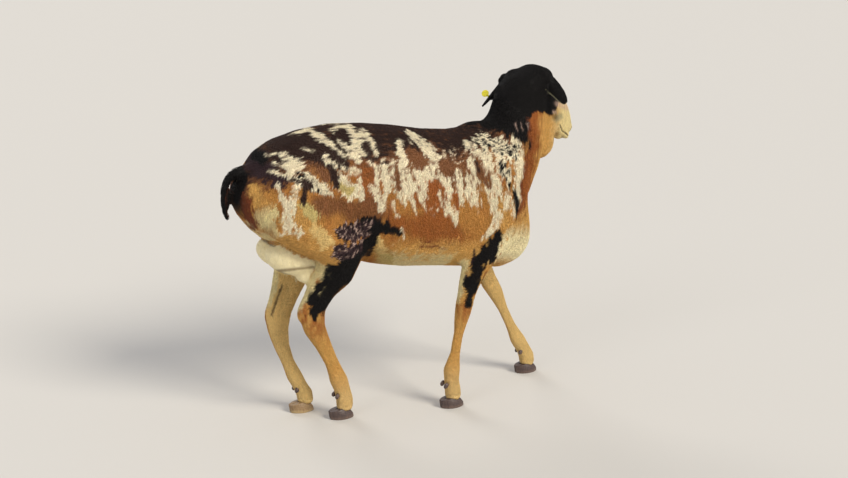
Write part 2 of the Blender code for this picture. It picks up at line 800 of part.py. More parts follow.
def knee_plane(name, helpers, grow, upper):
    stations = LEGS[name]
    index = PARTED_AT[name.split("_")[0]]
    here = Vector(stations[index][:3])
    run = (Vector(stations[index + 1][:3]) - Vector(stations[index - 1][:3])).normalized()
    normal = run if upper else -run
    return region(name + ("_above" if upper else "_below"), [(here, normal)], helpers, grow)


def body_forms():
    """Every form that the smooth skin of the body joins."""
    forms = [torso_mesh(), limb("neck_form", NECK, HEAD_SIDES), limb("tail_form", TAIL, TAIL_SIDES)]
    for name, stations in LEGS.items():
        forms.append(limb(name, stations))
    for name, centre, radii, tilt in SIDE_MASSES:
        for place in sides_of(centre):
            forms.append(ball(name, Vector(place), radii, (0, tilt, 0)))
    for name, centre, radii, tilt in SINGLE_MASSES:
        forms.append(ball(name, Vector(centre), radii, (0, tilt, 0)))
    return forms


def build_head(skull, head_block, animal, helpers, looks):
    """The head with its sockets, nostrils and mouth, then the eyes, the ears and the tag."""
    cuts = [("INTERSECT", head_block)] + eye_socket_cutters(helpers)
    cuts += nostril_cutters(helpers) + [mouth_cutter(helpers)]
    carved("head", skull, cuts, animal, looks["black_coat"])
    skull_room = grown(skull, helpers)
    stud, button, plate = tag_parts(helpers)
    tag = carved("ear_tag", plate, [("UNION", stud), ("UNION", button)], animal, looks["tag_plastic"])
    tag_room = grown(tag, helpers)
    ear(-1, "ear_right", [("DIFFERENCE", skull_room)], animal, helpers, looks["black_coat"])
    cuts = [("DIFFERENCE", skull_room), ("DIFFERENCE", tag_room)]
    ear(1, "ear_left", cuts, animal, helpers, looks["black_coat"])
    along, out, up = EYE_AT
    for side, name in ((-1, "eye_right"), (1, "eye_left")):
        mesh = head_ball(name, (along, side * out, up), (EYE_RADIUS,) * 3)
        dress(new_object(name, mesh, animal), looks["eye"])


def build():
    clear_scene()
    animal = collection("berber_ewe")
    helpers = collection("helpers")
    looks = {name: material(name) for name in COLOURS}
    body = one_skin("body_skin", body_forms(), BODY_VOXEL, BODY_TRIANGLES, helpers, PASSES["body"])
    size = (HEAD_MASS_VOXEL, MASS_TRIANGLES)
    masses = one_skin("head_masses", head_masses(), *size, helpers, PASSES["head_masses"])
    heads = [masses.data.copy()] + head_details()
    skull = one_skin("head_skin", heads, HEAD_VOXEL, HEAD_TRIANGLES, helpers, PASSES["head"])

    head_at, head_normal = Vector(HEAD_CUT[0]), Vector(HEAD_CUT[1]).normalized()
    head_block = region("head_block", [(head_at, -head_normal)], helpers)
    neck_block = region("neck_block", [NECK_CUT, (head_at, head_normal)], helpers, -GAP)
    neck_room = region("neck_room", [NECK_CUT], helpers, GAP)
    tail_block = tail_region("tail_block", helpers, -GAP)
    tail_room = tail_region("tail_room", helpers, GAP)
    cuts = [("DIFFERENCE", neck_room), ("DIFFERENCE", tail_room)]
    leg_blocks = {}
    for name in LEGS:
        leg_blocks[name] = region(name + "_block", leg_planes(name), helpers, -GAP / 2)
        cuts.append(("DIFFERENCE", region(name + "_room", leg_planes(name), helpers, GAP / 2)))
    carved("torso", body, cuts, animal, looks["mottled_coat"])
    carved("neck", body, [("INTERSECT", neck_block)], animal, looks["black_coat"])
    carved("tail", body, [("INTERSECT", tail_block)], animal, looks["black_coat"])
    build_head(skull, head_block, animal, helpers, looks)

    bag = one_skin("udder_skin", udder_form(), UDDER_VOXEL, UDDER_TRIANGLES, helpers, PASSES["udder"])
    carved("udder", bag, [("DIFFERENCE", grown(body, helpers))], animal, looks["cream_skin"])
    for name, stations in LEGS.items():
        leg(name, stations, body, leg_blocks[name], animal, helpers, looks)
    stand_over_origin(animal)


def stand_over_origin(animal):
    """Hangs every piece from one empty and sets it so that the box stands over the origin."""
    bpy.context.view_layer.update()
    pieces = list(animal.objects)
    points = np.array([obj.matrix_world @ vert.co for obj in pieces for vert in obj.data.vertices])
    low = points.min(axis=0)
    high = points.max(axis=0)
    frame = bpy.data.objects.new("ewe_frame", None)
    animal.objects.link(frame)
    for obj in pieces:
        obj.parent = frame
    frame.location = (-(low[0] + high[0]) / 2, -(low[1] + high[1]) / 2, -low[2])


def leg(name, stations, body, block, animal, helpers, looks):
    """The upper and lower leg, with two claws and two dewclaws."""
    ankle = Vector(stations[-2][:3])
    setback = CLAW_SETBACK[name.split("_")[0]]
    back, apart, above_ankle = DEWCLAW_AT
    cutters = []
    for side, label in ((-1, "right"), (1, "left")):
        mesh = claw_mesh((ankle.x - setback, ankle.y, 0.0), side)
        claw = new_object(f"claw_{name}_{label}", mesh, animal)
        dress(claw, looks["horn"])
        cutters.append(("DIFFERENCE", grown(claw, helpers)))
        at = ankle + Vector((back, side * apart, above_ankle))
        form = ball("dewclaw", at, DEWCLAW, DEWCLAW_TURN, 8, 6)
        spur = new_object(f"dewclaw_{name}_{label}", form, animal)
        dress(spur, looks["horn"])
        cutters.append(("DIFFERENCE", grown(spur, helpers)))
    above = knee_plane(name, helpers, -GAP / 2, True)
    below = knee_plane(name, helpers, -GAP / 2, False)
    keep = ("INTERSECT", block)
    carved(f"{name}_upper", body, [keep, ("INTERSECT", above)], animal, looks["tan_coat"])
    carved(f"{name}_lower", body, [keep, ("INTERSECT", below)] + cutters, animal, looks["tan_coat"])


build()
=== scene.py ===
"""A standing berber ewe with a short mottled coat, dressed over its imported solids.

Metres, +Z up. +X is the way the body faces and +Y is the animal's left. One skin takes the
place of every node of flesh, and thin flat tufts lie over it along the lie of the coat.
Marks are placed by the pixel of the photograph where they show on the right side, and the
left side carries the same marks, mirrored and shifted.
"""

import itertools
import json
import math

import bmesh
import bpy
import numpy as np
from mathutils import Matrix, Vector
from mathutils.bvhtree import BVHTree

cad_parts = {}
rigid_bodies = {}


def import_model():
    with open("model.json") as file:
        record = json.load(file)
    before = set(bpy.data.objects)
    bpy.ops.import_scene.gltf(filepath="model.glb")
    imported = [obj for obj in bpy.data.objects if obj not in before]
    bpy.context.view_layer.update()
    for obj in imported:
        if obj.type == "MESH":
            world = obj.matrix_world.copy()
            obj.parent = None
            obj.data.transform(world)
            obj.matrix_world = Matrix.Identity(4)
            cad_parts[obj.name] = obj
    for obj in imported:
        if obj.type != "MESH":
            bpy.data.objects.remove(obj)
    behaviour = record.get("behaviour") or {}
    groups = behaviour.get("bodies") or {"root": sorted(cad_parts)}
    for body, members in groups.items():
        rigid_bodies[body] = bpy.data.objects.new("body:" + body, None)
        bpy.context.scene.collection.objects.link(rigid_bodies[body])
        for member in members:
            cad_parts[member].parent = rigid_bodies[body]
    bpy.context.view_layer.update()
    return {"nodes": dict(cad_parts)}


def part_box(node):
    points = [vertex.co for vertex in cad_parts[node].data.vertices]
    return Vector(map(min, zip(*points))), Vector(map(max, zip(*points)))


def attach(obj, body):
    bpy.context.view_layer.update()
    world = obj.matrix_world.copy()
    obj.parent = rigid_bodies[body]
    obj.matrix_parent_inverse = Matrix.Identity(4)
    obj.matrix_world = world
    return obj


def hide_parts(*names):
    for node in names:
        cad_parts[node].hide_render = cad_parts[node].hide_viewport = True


PHOTO_WIDTH = 848
PHOTO_HEIGHT = 478
SENSOR = 36.0
FOCAL_PIXELS = 1500.0
CAMERA_PLACE = Vector((-1.5459, -3.384, 1.436))
CAMERA_TURN = math.radians(25)
CAMERA_DIP = math.radians(15)

BODY_VOXEL = 0.0044
GROW = 0.0008
EAR_GROW = 0.0026
HEAD_YAW = math.radians(27)
HEAD_PITCH = math.radians(38.5)
HEAD_CENTRE = np.array((0.3481, 0.014, 0.799))
HEAD_SCALE = 1.05
EYE_AT = np.array((0.052, 0.0405, 0.018))
EYE_RADIUS = 0.0125
EYE_FACING = (0.30, 0.93, 0.12)
EYEBALL = EYE_RADIUS * HEAD_SCALE
# The hollow for the eyeball is this much wider than it, and the skin is finest this near it.
SOCKET = 1.02
EYE_REGION = 0.024
# Segments round the eyeball and down it, and the same for its hollow.
EYE_SEGMENTS = (72, 48)
SOCKET_SEGMENTS = (24, 16)
# The right side and the left.
SIDES = (-1, 1)
# Corners of the solids that are closer than this are one.
WELD = 0.000005
# The mouth in the head's own frame: how far along the face, and how high.
MOUTH_LINE = ((0.135, -0.0200), (0.160, -0.0225), (0.185, -0.0210), (0.215, -0.0140))
# The middle and the half sizes of the muzzle, the nostril, and the reach of its painted shade and
# hole.
MUZZLE_AT = (0.1825, 0, 0)
MUZZLE_HALF = (0.0575, 0.05, 0.06)
NOSTRIL_AT = (0.196, 0.015, 0.003)
NOSTRIL_SHADE = (0.007, 0.006, 0.0045)
NOSTRIL_HOLE = (0.0062, 0.0050, 0.0030)

# For each region: how deep the coat lies over the skin, how strongly facets are smoothed, and
# the tufts' length, width, height of the tip over the skin, and how often they cover it.
REGIONS = {
    "torso": (0.0035, 1.0, 0.0108, 0.0017, 0.0016, 1.45),
    "neck": (0.0035, 1.0, 0.0112, 0.0017, 0.0017, 1.5),
    "head": (0.0016, 0.15, 0.0070, 0.0012, 0.0008, 1.8),
    "tail": (0.0030, 0.4, 0.0190, 0.0020, 0.0030, 2.2),
    "udder": (0.0008, 0.6, 0.0050, 0.0009, 0.0006, 0.20),
    "ear": (0.0008, 0.05, 0.0065, 0.0012, 0.0007, 1.8),
    "upper": (0.0026, 0.9, 0.0110, 0.0016, 0.0013, 1.8),
    "lower": (0.0014, 0.30, 0.0080, 0.0013, 0.0007, 1.7),
}
# Where the columns of that table are.
DEPTH, SMOOTHING, TUFT = 0, 1, slice(2, None)
SMOOTH_PASSES = 12

# Points down each leg: x, y, z at the top, elbow or stifle, mid, knee or hock, mid cannon,
# fetlock and pastern.
LEG_LINES = {
    "fore_right": (
        (0.223, -0.085, 0.560), (0.165, -0.098, 0.430), (0.116, -0.093, 0.330),
        (0.102, -0.091, 0.266), (0.089, -0.089, 0.200), (0.071, -0.086, 0.100),
        (0.077, -0.085, 0.026),
    ),
    "fore_left": (
        (0.223, 0.085, 0.560), (0.208, 0.090, 0.430), (0.241, 0.082, 0.315), (0.273, 0.077, 0.254),
        (0.304, 0.072, 0.190), (0.349, 0.068, 0.096), (0.380, 0.067, 0.026),
    ),
    "hind_right": (
        (-0.342, -0.070, 0.640), (-0.229, -0.086, 0.452), (-0.279, -0.066, 0.357),
        (-0.300, -0.056, 0.285), (-0.268, -0.047, 0.205), (-0.226, -0.041, 0.104),
        (-0.209, -0.037, 0.026),
    ),
    "hind_left": (
        (-0.347, 0.070, 0.640), (-0.283, 0.085, 0.440), (-0.327, 0.066, 0.320),
        (-0.350, 0.058, 0.247), (-0.343, 0.054, 0.182), (-0.312, 0.051, 0.098),
        (-0.282, 0.050, 0.026),
    ),
}

COLOURS = {
    "black": (13, 10, 10),
    "dark": (52, 34, 28),
    "brown": (132, 86, 54),
    "rust": (162, 94, 44),
    "brick": (126, 66, 38),
    "tan": (194, 138, 70),
    "gold": (214, 166, 92),
    "cream": (238, 220, 164),
    "white": (244, 230, 198),
    "pink": (216, 184, 168),
    "grey": (98, 86, 76),
    "purple": (56, 38, 42),
    "olive": (206, 186, 122),
    "straw": (226, 194, 128),
    "shadow": (116, 92, 58),
    "sage": (150, 146, 118),
    "udder": (240, 226, 182),
    "eyeball": (118, 96, 80),
    "iris": (132, 90, 42),
    "pupil": (10, 8, 8),
    "tag": (238, 222, 42),
    "dirt": (120, 100, 40),
}

# The back of the animal as the photograph shows it, and how far down the dark band reaches.
BACK_LINE = ((225, 168), (255, 145), (284, 134), (320, 122), (354, 120), (407, 127),
             (481, 121), (530, 110))
BAND_DEPTH = ((225, 30), (262, 30), (300, 30), (330, 36), (360, 30), (385, 32), (405, 20), (430, 16),
              (452, 34), (470, 26), (485, 12), (530, 16))

# Broad areas of the coat, painted first with a soft edge. After each colour come its
# strokes: start x, y, end x, y and the half width at each end, in pixels of the photograph.
WASHES = (
    ("brown", (392, 156, 470, 166, 24, 24)),
    ("rust", (425, 192, 448, 206, 16, 14), (400, 224, 448, 228, 12, 14)),
    ("gold", (404, 252, 450, 254, 10, 12)),
    ("tan", (462, 208, 486, 230, 11, 12)),
    ("rust", (364, 166, 370, 196, 9, 10)),
    ("brown", (322, 206, 374, 208, 9, 13)),
    ("gold", (300, 208, 316, 234, 10, 10), (254, 190, 268, 200, 8, 8)),
    ("tan", (270, 192, 279, 200, 7, 6)),
    ("cream", (262, 216, 278, 226, 9, 9)),
    ("gold", (286, 242, 330, 256, 9, 12)),
    ("tan", (337, 222, 342, 250, 6, 7)),
    ("olive", (380, 248, 392, 262, 5, 8)),
    ("straw", (438, 263, 470, 264, 5, 5)),
    ("gold", (502, 205, 508, 236, 8, 8)),
)

# Marks in the order they are painted, with ragged edges, written the same way.
MARKS = (
    ("straw", (378, 238, 385, 250, 3, 4)),
    ("olive", (303, 206, 313, 214, 5, 5.5)),
    ("straw", (317, 229, 328, 243, 5, 6.5)),
    ("brick",
     (421, 241, 431, 239, 1, 0.8), (421, 246, 436, 244, 0.9, 0.8), (436, 244, 447, 249, 1.1, 0.7)),
    ("cream", (262, 222, 276, 213, 3.5, 6.5)),
    ("brown", (446, 166, 454, 178, 4.5, 4.5)),
    ("white",
     (414, 138, 438, 156, 3, 4), (420, 168, 430, 178, 4.6, 4.6), (403, 162, 412, 184, 3.2, 3.4),
     (388, 178, 402, 186, 2.6, 3), (411, 186, 426, 196, 3, 3.6), (440, 174, 451, 188, 2.6, 3.2),
     (439, 190, 444, 208, 1.8, 1.4), (372, 160, 378, 178, 1.8, 2.4), (408, 131, 424, 143, 1.2, 4),
     (424, 143, 434, 158, 4.6, 4.6), (433, 158, 428, 188, 4.6, 4.4),
     (411, 139, 417, 145, 2.5, 2.5), (401, 142, 404, 162, 3.2, 4.6),
     (404, 162, 402, 184, 4.6, 3.6), (417, 168, 424, 190, 3.6, 4.6), (405, 184, 409, 200, 5, 4.4),
     (396, 190, 404, 200, 3.6, 4), (384, 164, 388, 188, 4, 4.4), (386, 188, 382, 206, 4.6, 3.4),
     (376, 176, 378, 198, 2.6, 2.8), (392, 162, 395, 174, 3, 3), (436, 162, 446, 184, 1.6, 2.2),
     (449, 184, 449, 210, 4, 4), (458, 172, 460, 196, 3.8, 4.6), (461, 196, 457, 222, 3.8, 2),
     (449, 208, 457, 222, 3, 2.6), (470, 146, 480, 152, 4.6, 5.6), (473, 158, 476, 202, 3.8, 3),
     (466, 176, 469, 196, 3, 2.6), (483, 152, 496, 184, 5.4, 5), (484, 184, 500, 190, 5, 5),
     (489, 190, 498, 216, 4, 4), (498, 214, 488, 236, 3.8, 2.6), (497, 150, 506, 176, 5.4, 5.4),
     (508, 170, 508, 206, 4.2, 4), (516, 142, 519, 172, 6, 5.4), (519, 172, 516, 214, 4.8, 3),
     (434, 196, 438, 208, 1.3, 0.9), (413, 200, 416, 213, 1.3, 0.9),
     (421, 194, 425, 208, 1.4, 0.9), (394, 202, 398, 215, 1.3, 0.9)),
    ("brown", (412, 150, 420, 166, 5, 4)),
    ("dark", (409, 137, 420, 151, 1.2, 2)),
    ("rust", (431, 184, 436, 200, 4.4, 4), (456, 194, 459, 208, 1.8, 2.2)),
    ("brown", (478, 162, 484, 182, 2.2, 3.2)),
    ("dark", (476, 160, 480, 171, 1.1, 1.1)),
    ("brown", (489, 172, 491, 186, 1.6, 2), (397, 170, 398, 187, 2.4, 2.8)),
    ("black", (501, 163, 507, 181, 2.4, 2.4), (514, 188, 519, 219, 1.8, 3)),
    ("white", (512, 198, 514, 216, 1.2, 1.6)),
    ("roan", (484, 140, 510, 150, 8, 9), (505, 160, 509, 186, 4, 4)),
    ("white", (492, 222, 484, 238, 2, 1.4)),
    ("purple", (252, 162, 280, 180, 8, 9)),
    ("black", (246, 150, 263, 157, 8, 6), (240, 174, 238, 198, 9, 5)),
    ("brick", (245, 198, 251, 230, 4.5, 5)),
    ("gold", (254, 186, 258, 204, 4.5, 4)),
    ("dark", (280, 139, 318, 142, 5, 6), (302, 150, 340, 160, 9, 10)),
    ("white",
     (277, 137, 308, 130, 1.3, 2), (292, 130, 312, 128, 1.5, 1.6), (310, 129, 322, 139, 2.2, 3.2),
     (322, 138, 346, 156, 1.8, 3.2), (332, 129, 350, 126, 1.8, 1.6),
     (333, 130, 341, 141, 1.5, 1.6), (350, 127, 360, 140, 2.8, 4.6),
     (346, 144, 360, 160, 4.6, 3.2), (358, 138, 366, 155, 4.2, 2.6),
     (362, 130, 378, 152, 1.8, 1.8), (352, 132, 356, 150, 3, 4)),
    ("dark", (338, 134, 348, 138, 4, 4), (364, 143, 371, 153, 1.6, 2)),
    ("white",
     (306, 148, 313, 151, 1.5, 1.5), (327, 157, 334, 166, 3, 4.2), (266, 154, 286, 153, 1, 2),
     (284, 154, 300, 164, 3.8, 5.2), (290, 164, 296, 180, 6.5, 4.6),
     (268, 171, 286, 174, 1.2, 2.4), (274, 163, 290, 168, 1.4, 3)),
    ("roan", (302, 176, 324, 188, 5.5, 6.5)),
    ("white", (318, 180, 330, 192, 3, 3), (340, 180, 351, 190, 8, 7.5)),
    ("olive", (342, 185, 350, 190, 4, 4)),
    ("white",
     (345, 168, 358, 171, 3, 3), (359, 178, 362, 196, 2, 2.8), (371, 186, 380, 202, 2.4, 3)),
    ("dark", (331, 168, 337, 182, 3, 4)),
    ("brown", (320, 168, 327, 178, 4, 3)),
    ("dark", (294, 179, 306, 187, 2.6, 3), (306, 184, 304, 201, 4.6, 3.6)),
    ("white",
     (279, 186, 287, 204, 2.6, 4.4), (297, 188, 291, 206, 4.6, 5.2),
     (289, 206, 290, 224, 5.4, 5.2), (284, 228, 300, 232, 4.4, 5)),
    ("tan", (279, 219, 280, 227, 3.4, 3)),
    ("dark", (367, 222, 381, 224, 8, 8)),
    ("black", (366, 220, 383, 226, 6, 7), (383, 226, 399, 232, 6.5, 4)),
    ("white", (403, 229, 404, 238, 1.8, 1.8)),
    ("speckle", (350, 232, 366, 228, 11, 9), (344, 254, 362, 246, 10, 9)),
    ("black",
     (377, 228, 368, 250, 4.5, 5.5), (368, 250, 352, 272, 5.5, 9), (350, 270, 330, 294, 12, 12),
     (330, 292, 316, 310, 12, 7), (336, 270, 314, 300, 7, 8), (499, 236, 486, 258, 6, 9)),
    # Painted highlight: the lit, purplish side of the near forearm's black stripe.
    ("purple", (478, 252, 467, 282, 4, 4.5)),
    ("black", (484, 256, 473, 284, 7.6, 7.6), (473, 284, 469, 303, 6.5, 3.4)),
)


def skin_nodes():
    kept = ("eye", "claw", "dewclaw", "ear_tag")
    return [name for name in frame["nodes"] if not name.startswith(kept)]


def nodes_with(*keys):
    """The numbers of the skin's nodes whose names hold one of the keys."""
    return [i for i, name in enumerate(skin_nodes()) if any(key in name for key in keys)]


def linear(colour):
    """The linear light values of an sRGB colour of 0 to 255."""
    c = np.asarray(colour, float) / 255
    return np.where(c <= 0.04045, c / 12.92, ((c + 0.055) / 1.055) ** 2.4)


def ramp(low, high, values):
    """Rises softly from 0 at low to 1 at high, or falls where low is the greater."""
    t = np.clip((values - low) / (high - low), 0, 1)
    return t * t * (3 - 2 * t)


def bell(values):
    return np.exp(-(values**2))


def along_line(line, at):
    """The height of a line of points at each place along it."""
    return np.interp(at, *zip(*line))


def unit(vectors):
    return vectors / np.maximum(np.linalg.norm(vectors, axis=-1, keepdims=True), 1e-12)


# Grids of random values, one for each seed that the noise is asked for.
LATTICES = {}
LATTICE_SIZE = 64


def noise(points, scale, seed):
    """Smooth noise of -1 to 1; scale is the size of its features along each axis."""
    if seed not in LATTICES:
        LATTICES[seed] = np.random.default_rng(seed).random((LATTICE_SIZE,) * 3)
    p = points / np.asarray(scale, float) + 0.37 * seed
    base = np.floor(p).astype(int)
    f = p - base
    f = f * f * (3 - 2 * f)
    total = np.zeros(len(p))
    for step in itertools.product((0, 1), repeat=3):
        at = (base + step) % LATTICE_SIZE
        total += LATTICES[seed][tuple(at.T)] * np.where(step, f, 1 - f).prod(1)
    return total * 2 - 1


def photo_axes():
    flat = np.array((math.sin(CAMERA_TURN), math.cos(CAMERA_TURN), 0))
    ahead = flat * math.cos(CAMERA_DIP) - np.array((0, 0, math.sin(CAMERA_DIP)))
    right = np.array((math.cos(CAMERA_TURN), -math.sin(CAMERA_TURN), 0))
    return right, np.cross(right, ahead), ahead


def to_photo(points):
    """The pixel of the photograph where each point shows."""
    right, up, ahead = photo_axes()
    rel = points - np.array(CAMERA_PLACE)
    depth = rel @ ahead
    x = PHOTO_WIDTH / 2 + FOCAL_PIXELS * (rel @ right) / depth
    y = PHOTO_HEIGHT / 2 - FOCAL_PIXELS * (rel @ up) / depth
    return x, y


def head_axes():
    yaw = Matrix.Rotation(HEAD_YAW, 3, "Z")
    forward = yaw @ Vector((math.cos(HEAD_PITCH), 0, -math.sin(HEAD_PITCH)))
    left = yaw @ Vector((0, 1, 0))
    return np.array((forward, left, forward.cross(left)))


def in_head(points):
    """Points in the head's own frame: along the face, to its left and up."""
    return (points - HEAD_CENTRE) @ head_axes().T / HEAD_SCALE


def from_head(points):
    return np.asarray(points, float) * HEAD_SCALE @ head_axes() + HEAD_CENTRE


def eye_centre(side):
    return from_head(EYE_AT * (1, side, 1))


def on_right(points):
    """The same points with their left side laid over the right."""
    return points * (1, 0, 1) - np.abs(points) * (0, 1, 0)


def mesh_arrays(mesh):
    points = np.empty(len(mesh.vertices) * 3, np.float32)
    mesh.vertices.foreach_get("co", points)
    mesh.calc_loop_triangles()
    triangles = np.empty(len(mesh.loop_triangles) * 3, np.int32)
    mesh.loop_triangles.foreach_get("vertices", triangles)
    return points.reshape(-1, 3).astype(float), triangles.reshape(-1, 3)


def make_mesh(name, points, triangles):
    mesh = bpy.data.meshes.new(name)
    mesh.vertices.add(len(points))
    mesh.vertices.foreach_set("co", np.asarray(points, np.float32).ravel())
    mesh.loops.add(len(triangles) * 3)
    mesh.loops.foreach_set("vertex_index", np.asarray(triangles, np.int32).ravel())
    mesh.polygons.add(len(triangles))
    mesh.polygons.foreach_set("loop_start", np.arange(0, len(triangles) * 3, 3, dtype=np.int32))
    mesh.update(calc_edges=True)
    mesh.shade_smooth()
    return mesh


def add_object(name, data):
    obj = bpy.data.objects.new(name, data)
    bpy.context.scene.collection.objects.link(obj)
    return obj


def taken_from(bm):
    """Points, outward normals and triangles of a bmesh, which is then freed."""
    bmesh.ops.triangulate(bm, faces=bm.faces)
    bm.normal_update()
    points = np.array([v.co for v in bm.verts])
    normals = np.array([v.normal for v in bm.verts])
    triangles = np.array([[v.index for v in f.verts] for f in bm.faces])
    bm.free()
    return points, normals, triangles


def welded(node):
    """Points, outward normals and triangles of a solid, with its split corners joined."""
    bm = bmesh.new()
    bm.from_mesh(frame["nodes"][node].data)
    bmesh.ops.remove_doubles(bm, verts=bm.verts, dist=WELD)
    return taken_from(bm)


def sphere(across, down, radius):
    bm = bmesh.new()
    bmesh.ops.create_uvsphere(bm, u_segments=across, v_segments=down, radius=radius)
    return taken_from(bm)


def gathered(parts):
    """Pieces of points and triangles joined as one."""
    starts = np.cumsum([0] + [len(points) for points, _ in parts])
    triangles = [faces + start for (_, faces), start in zip(parts, starts)]
    return np.concatenate([points for points, _ in parts]), np.concatenate(triangles)


def remeshed(obj, voxel, smoothing=0):
    """Rebuilds an object's mesh from voxels, smooths it and gives its points and triangles."""
    fuse = obj.modifiers.new("fuse", "REMESH")
    fuse.mode = "VOXEL"
    fuse.voxel_size = voxel
    if smoothing:
        obj.modifiers.new("soften", "SMOOTH").iterations = smoothing
    graph = bpy.context.evaluated_depsgraph_get()
    mesh = bpy.data.meshes.new_from_object(obj.evaluated_get(graph), depsgraph=graph)
    old = obj.data
    obj.modifiers.clear()
    obj.data = mesh
    bpy.data.meshes.remove(old)
    return mesh_arrays(mesh)


def largest_island(points, triangles):
    """The biggest connected surface alone."""
    edges = np.concatenate([triangles[:, [0, 1]], triangles[:, [1, 2]]])
    label = np.arange(len(points))
    while True:
        low = np.minimum(label[edges[:, 0]], label[edges[:, 1]])
        fresh = label.copy()
        np.minimum.at(fresh, edges[:, 0], low)
        np.minimum.at(fresh, edges[:, 1], low)
        fresh = fresh[fresh]
        if (fresh == label).all():
            break
        label = fresh
    names, counts = np.unique(label, return_counts=True)
    keep = label == names[counts.argmax()]
    place = np.cumsum(keep) - 1
    return points[keep], place[triangles[keep[triangles[:, 0]]]]


def fused_flesh():
    """Every node of flesh, slightly grown so that the cuts close, as one surface."""
    parts = []
    for name in skin_nodes():
        points, normals, triangles = welded(name)
        parts.append((points + normals * (EAR_GROW if name.startswith("ear") else GROW), triangles))
    for side in SIDES:
        points, _, triangles = sphere(*SOCKET_SEGMENTS, EYEBALL * SOCKET)
        parts.append((points + eye_centre(side), triangles))
    obj = add_object("skin", make_mesh("skin", *gathered(parts)))
    obj.data = make_mesh("skin", *largest_island(*remeshed(obj, BODY_VOXEL)))
    return obj


def refined(obj, picked):
    """Splits the edges between the picked points once, and keeps triangles throughout."""
    bm = bmesh.new()
    bm.from_mesh(obj.data)
    edges = [e for e in bm.edges if picked[e.verts[0].index] and picked[e.verts[1].index]]
    bmesh.ops.subdivide_edges(bm, edges=edges, cuts=1, use_grid_fill=True)
    bmesh.ops.triangulate(bm, faces=bm.faces)
    bm.to_mesh(obj.data)
    bm.free()
    return mesh_arrays(obj.data)


def node_lookup():
    """A tree of the flesh's own triangles and the node that each belongs to."""
    parts = [welded(name)[::2] for name in skin_nodes()]
    points, triangles = gathered(parts)
    owner = np.repeat(np.arange(len(parts)), [len(faces) for _, faces in parts])
    return BVHTree.FromPolygons(points.tolist(), triangles.tolist()), owner


def nearest_node(points, tree, owner):
    return np.array([owner[tree.find_nearest(p)[2]] for p in points.tolist()])


def edge_list(triangles):
    edges = np.concatenate([triangles[:, pair] for pair in ([0, 1], [1, 2], [2, 0])])
    return np.unique(np.sort(edges, axis=1), axis=0)


def spread(values, edges, passes, share=0.5):
    """Averages values over neighbouring points, share of the way, a number of times."""
    count = len(values)
    flat = values.astype(float).reshape(count, -1)
    degree = np.bincount(edges.ravel(), minlength=count).astype(float)[:, None]
    share = np.asarray(share, float).reshape(-1, 1)
    for _ in range(passes):
        total = np.empty_like(flat)
        for axis, column in enumerate(flat.T):
            ahead = np.bincount(edges[:, 0], column[edges[:, 1]], count)
            total[:, axis] = ahead + np.bincount(edges[:, 1], column[edges[:, 0]], count)
        flat = flat + (total / degree - flat) * share
    return flat.reshape(values.shape)


def region_values(labels):
    """The columns of the table of regions for each point, by its node."""
    per_node = np.zeros((len(skin_nodes()), 6))
    for key, row in REGIONS.items():
        per_node[nodes_with(key)] = row
    return per_node[labels]


def face_crosses(points, triangles):
    """For each triangle, a vector along its normal and twice as long as its area."""
    a, b, c = (points[triangles[:, corner]] for corner in range(3))
    return np.cross(b - a, c - a)


def normals_of(points, triangles):
    faces = face_crosses(points, triangles)
    total = np.zeros_like(points)
    for corner in range(3):
        for axis in range(3):
            total[:, axis] += np.bincount(triangles[:, corner], faces[:, axis], len(points))
    return unit(total)


def softened(points, edges, share, passes):
    """Takes the facets out without shrinking: each pass inward is followed by one outward."""
    for _ in range(passes):
        points = spread(points, edges, 1, 0.55 * share)
        points = spread(points, edges, 1, -0.56 * share)
    return points


def as_right(points, labels):
    """The same place on the right side of the body, with the right legs' stance."""
    q = on_right(points)
    for pair in ("fore", "hind"):
        left, right = (np.array(LEG_LINES[pair + side]) for side in ("_left", "_right"))
        mine = np.isin(labels, nodes_with(pair + "_left"))
        z = points[mine, 2]
        steps = np.arange(len(left))
        station = np.interp(z, left[::-1, 2], steps[::-1])
        weight = ramp(0.56, 0.44, z)
        dx = np.interp(station, steps, right[:, 0]) - np.interp(station, steps, left[:, 0])
        dz = np.interp(station, steps, right[:, 2]) - z
        dz[z < left[-1, 2]] = 0
        q[mine, 0] += dx * weight
        q[mine, 2] += dz * weight
    return q


# In pixels of the photograph: how far the marks' outlines wander, and how far the left
# side's marks wander and stand off from the right side's.
WARP = 2.4
LEFT_WANDER = (16, 12)
LEFT_OFFSET = 6


def tinted(colours, name, amount):
    """The colours with a named one laid over them, by an amount of 0 to 1 at each point."""
    return colours * (1 - amount[:, None]) + linear(COLOURS[name]) * amount[:, None]


def strokes(table):
    """Each stroke of a table with its colour, in order."""
    return [(colour, stroke) for colour, *group in table for stroke in group]


def distance_inside(x, y, stroke):
    """How far inside a stroke each point lies, in pixels, and its half width there."""
    x0, y0, x1, y1, w0, w1 = stroke
    dx, dy = x1 - x0, y1 - y0
    length = max(dx * dx + dy * dy, 1e-6)
    t = np.clip(((x - x0) * dx + (y - y0) * dy) / length, 0, 1)
    width = w0 + (w1 - w0) * t
    return width - np.hypot(x - x0 - t * dx, y - y0 - t * dy), width


def stroke_mask(x, y, stroke, ragged):
    """How much of a stroke each point takes: full inside, with a ragged edge."""
    inside, width = distance_inside(x, y, stroke)
    return ramp(-0.8, 0.8, inside + ragged * np.minimum(width, 6))


def streaks(points, seed, thin, long):
    """Noise drawn out along the hair: down the sides, and backward along the rump."""
    down = noise(points, (thin, thin, long), seed)
    back = noise(points, (long, thin, thin), seed + 1)
    rump = ramp(0.58, 0.64, points[:, 2]) * ramp(0.0, -0.12, points[:, 0])
    return down * (1 - rump) + back * rump


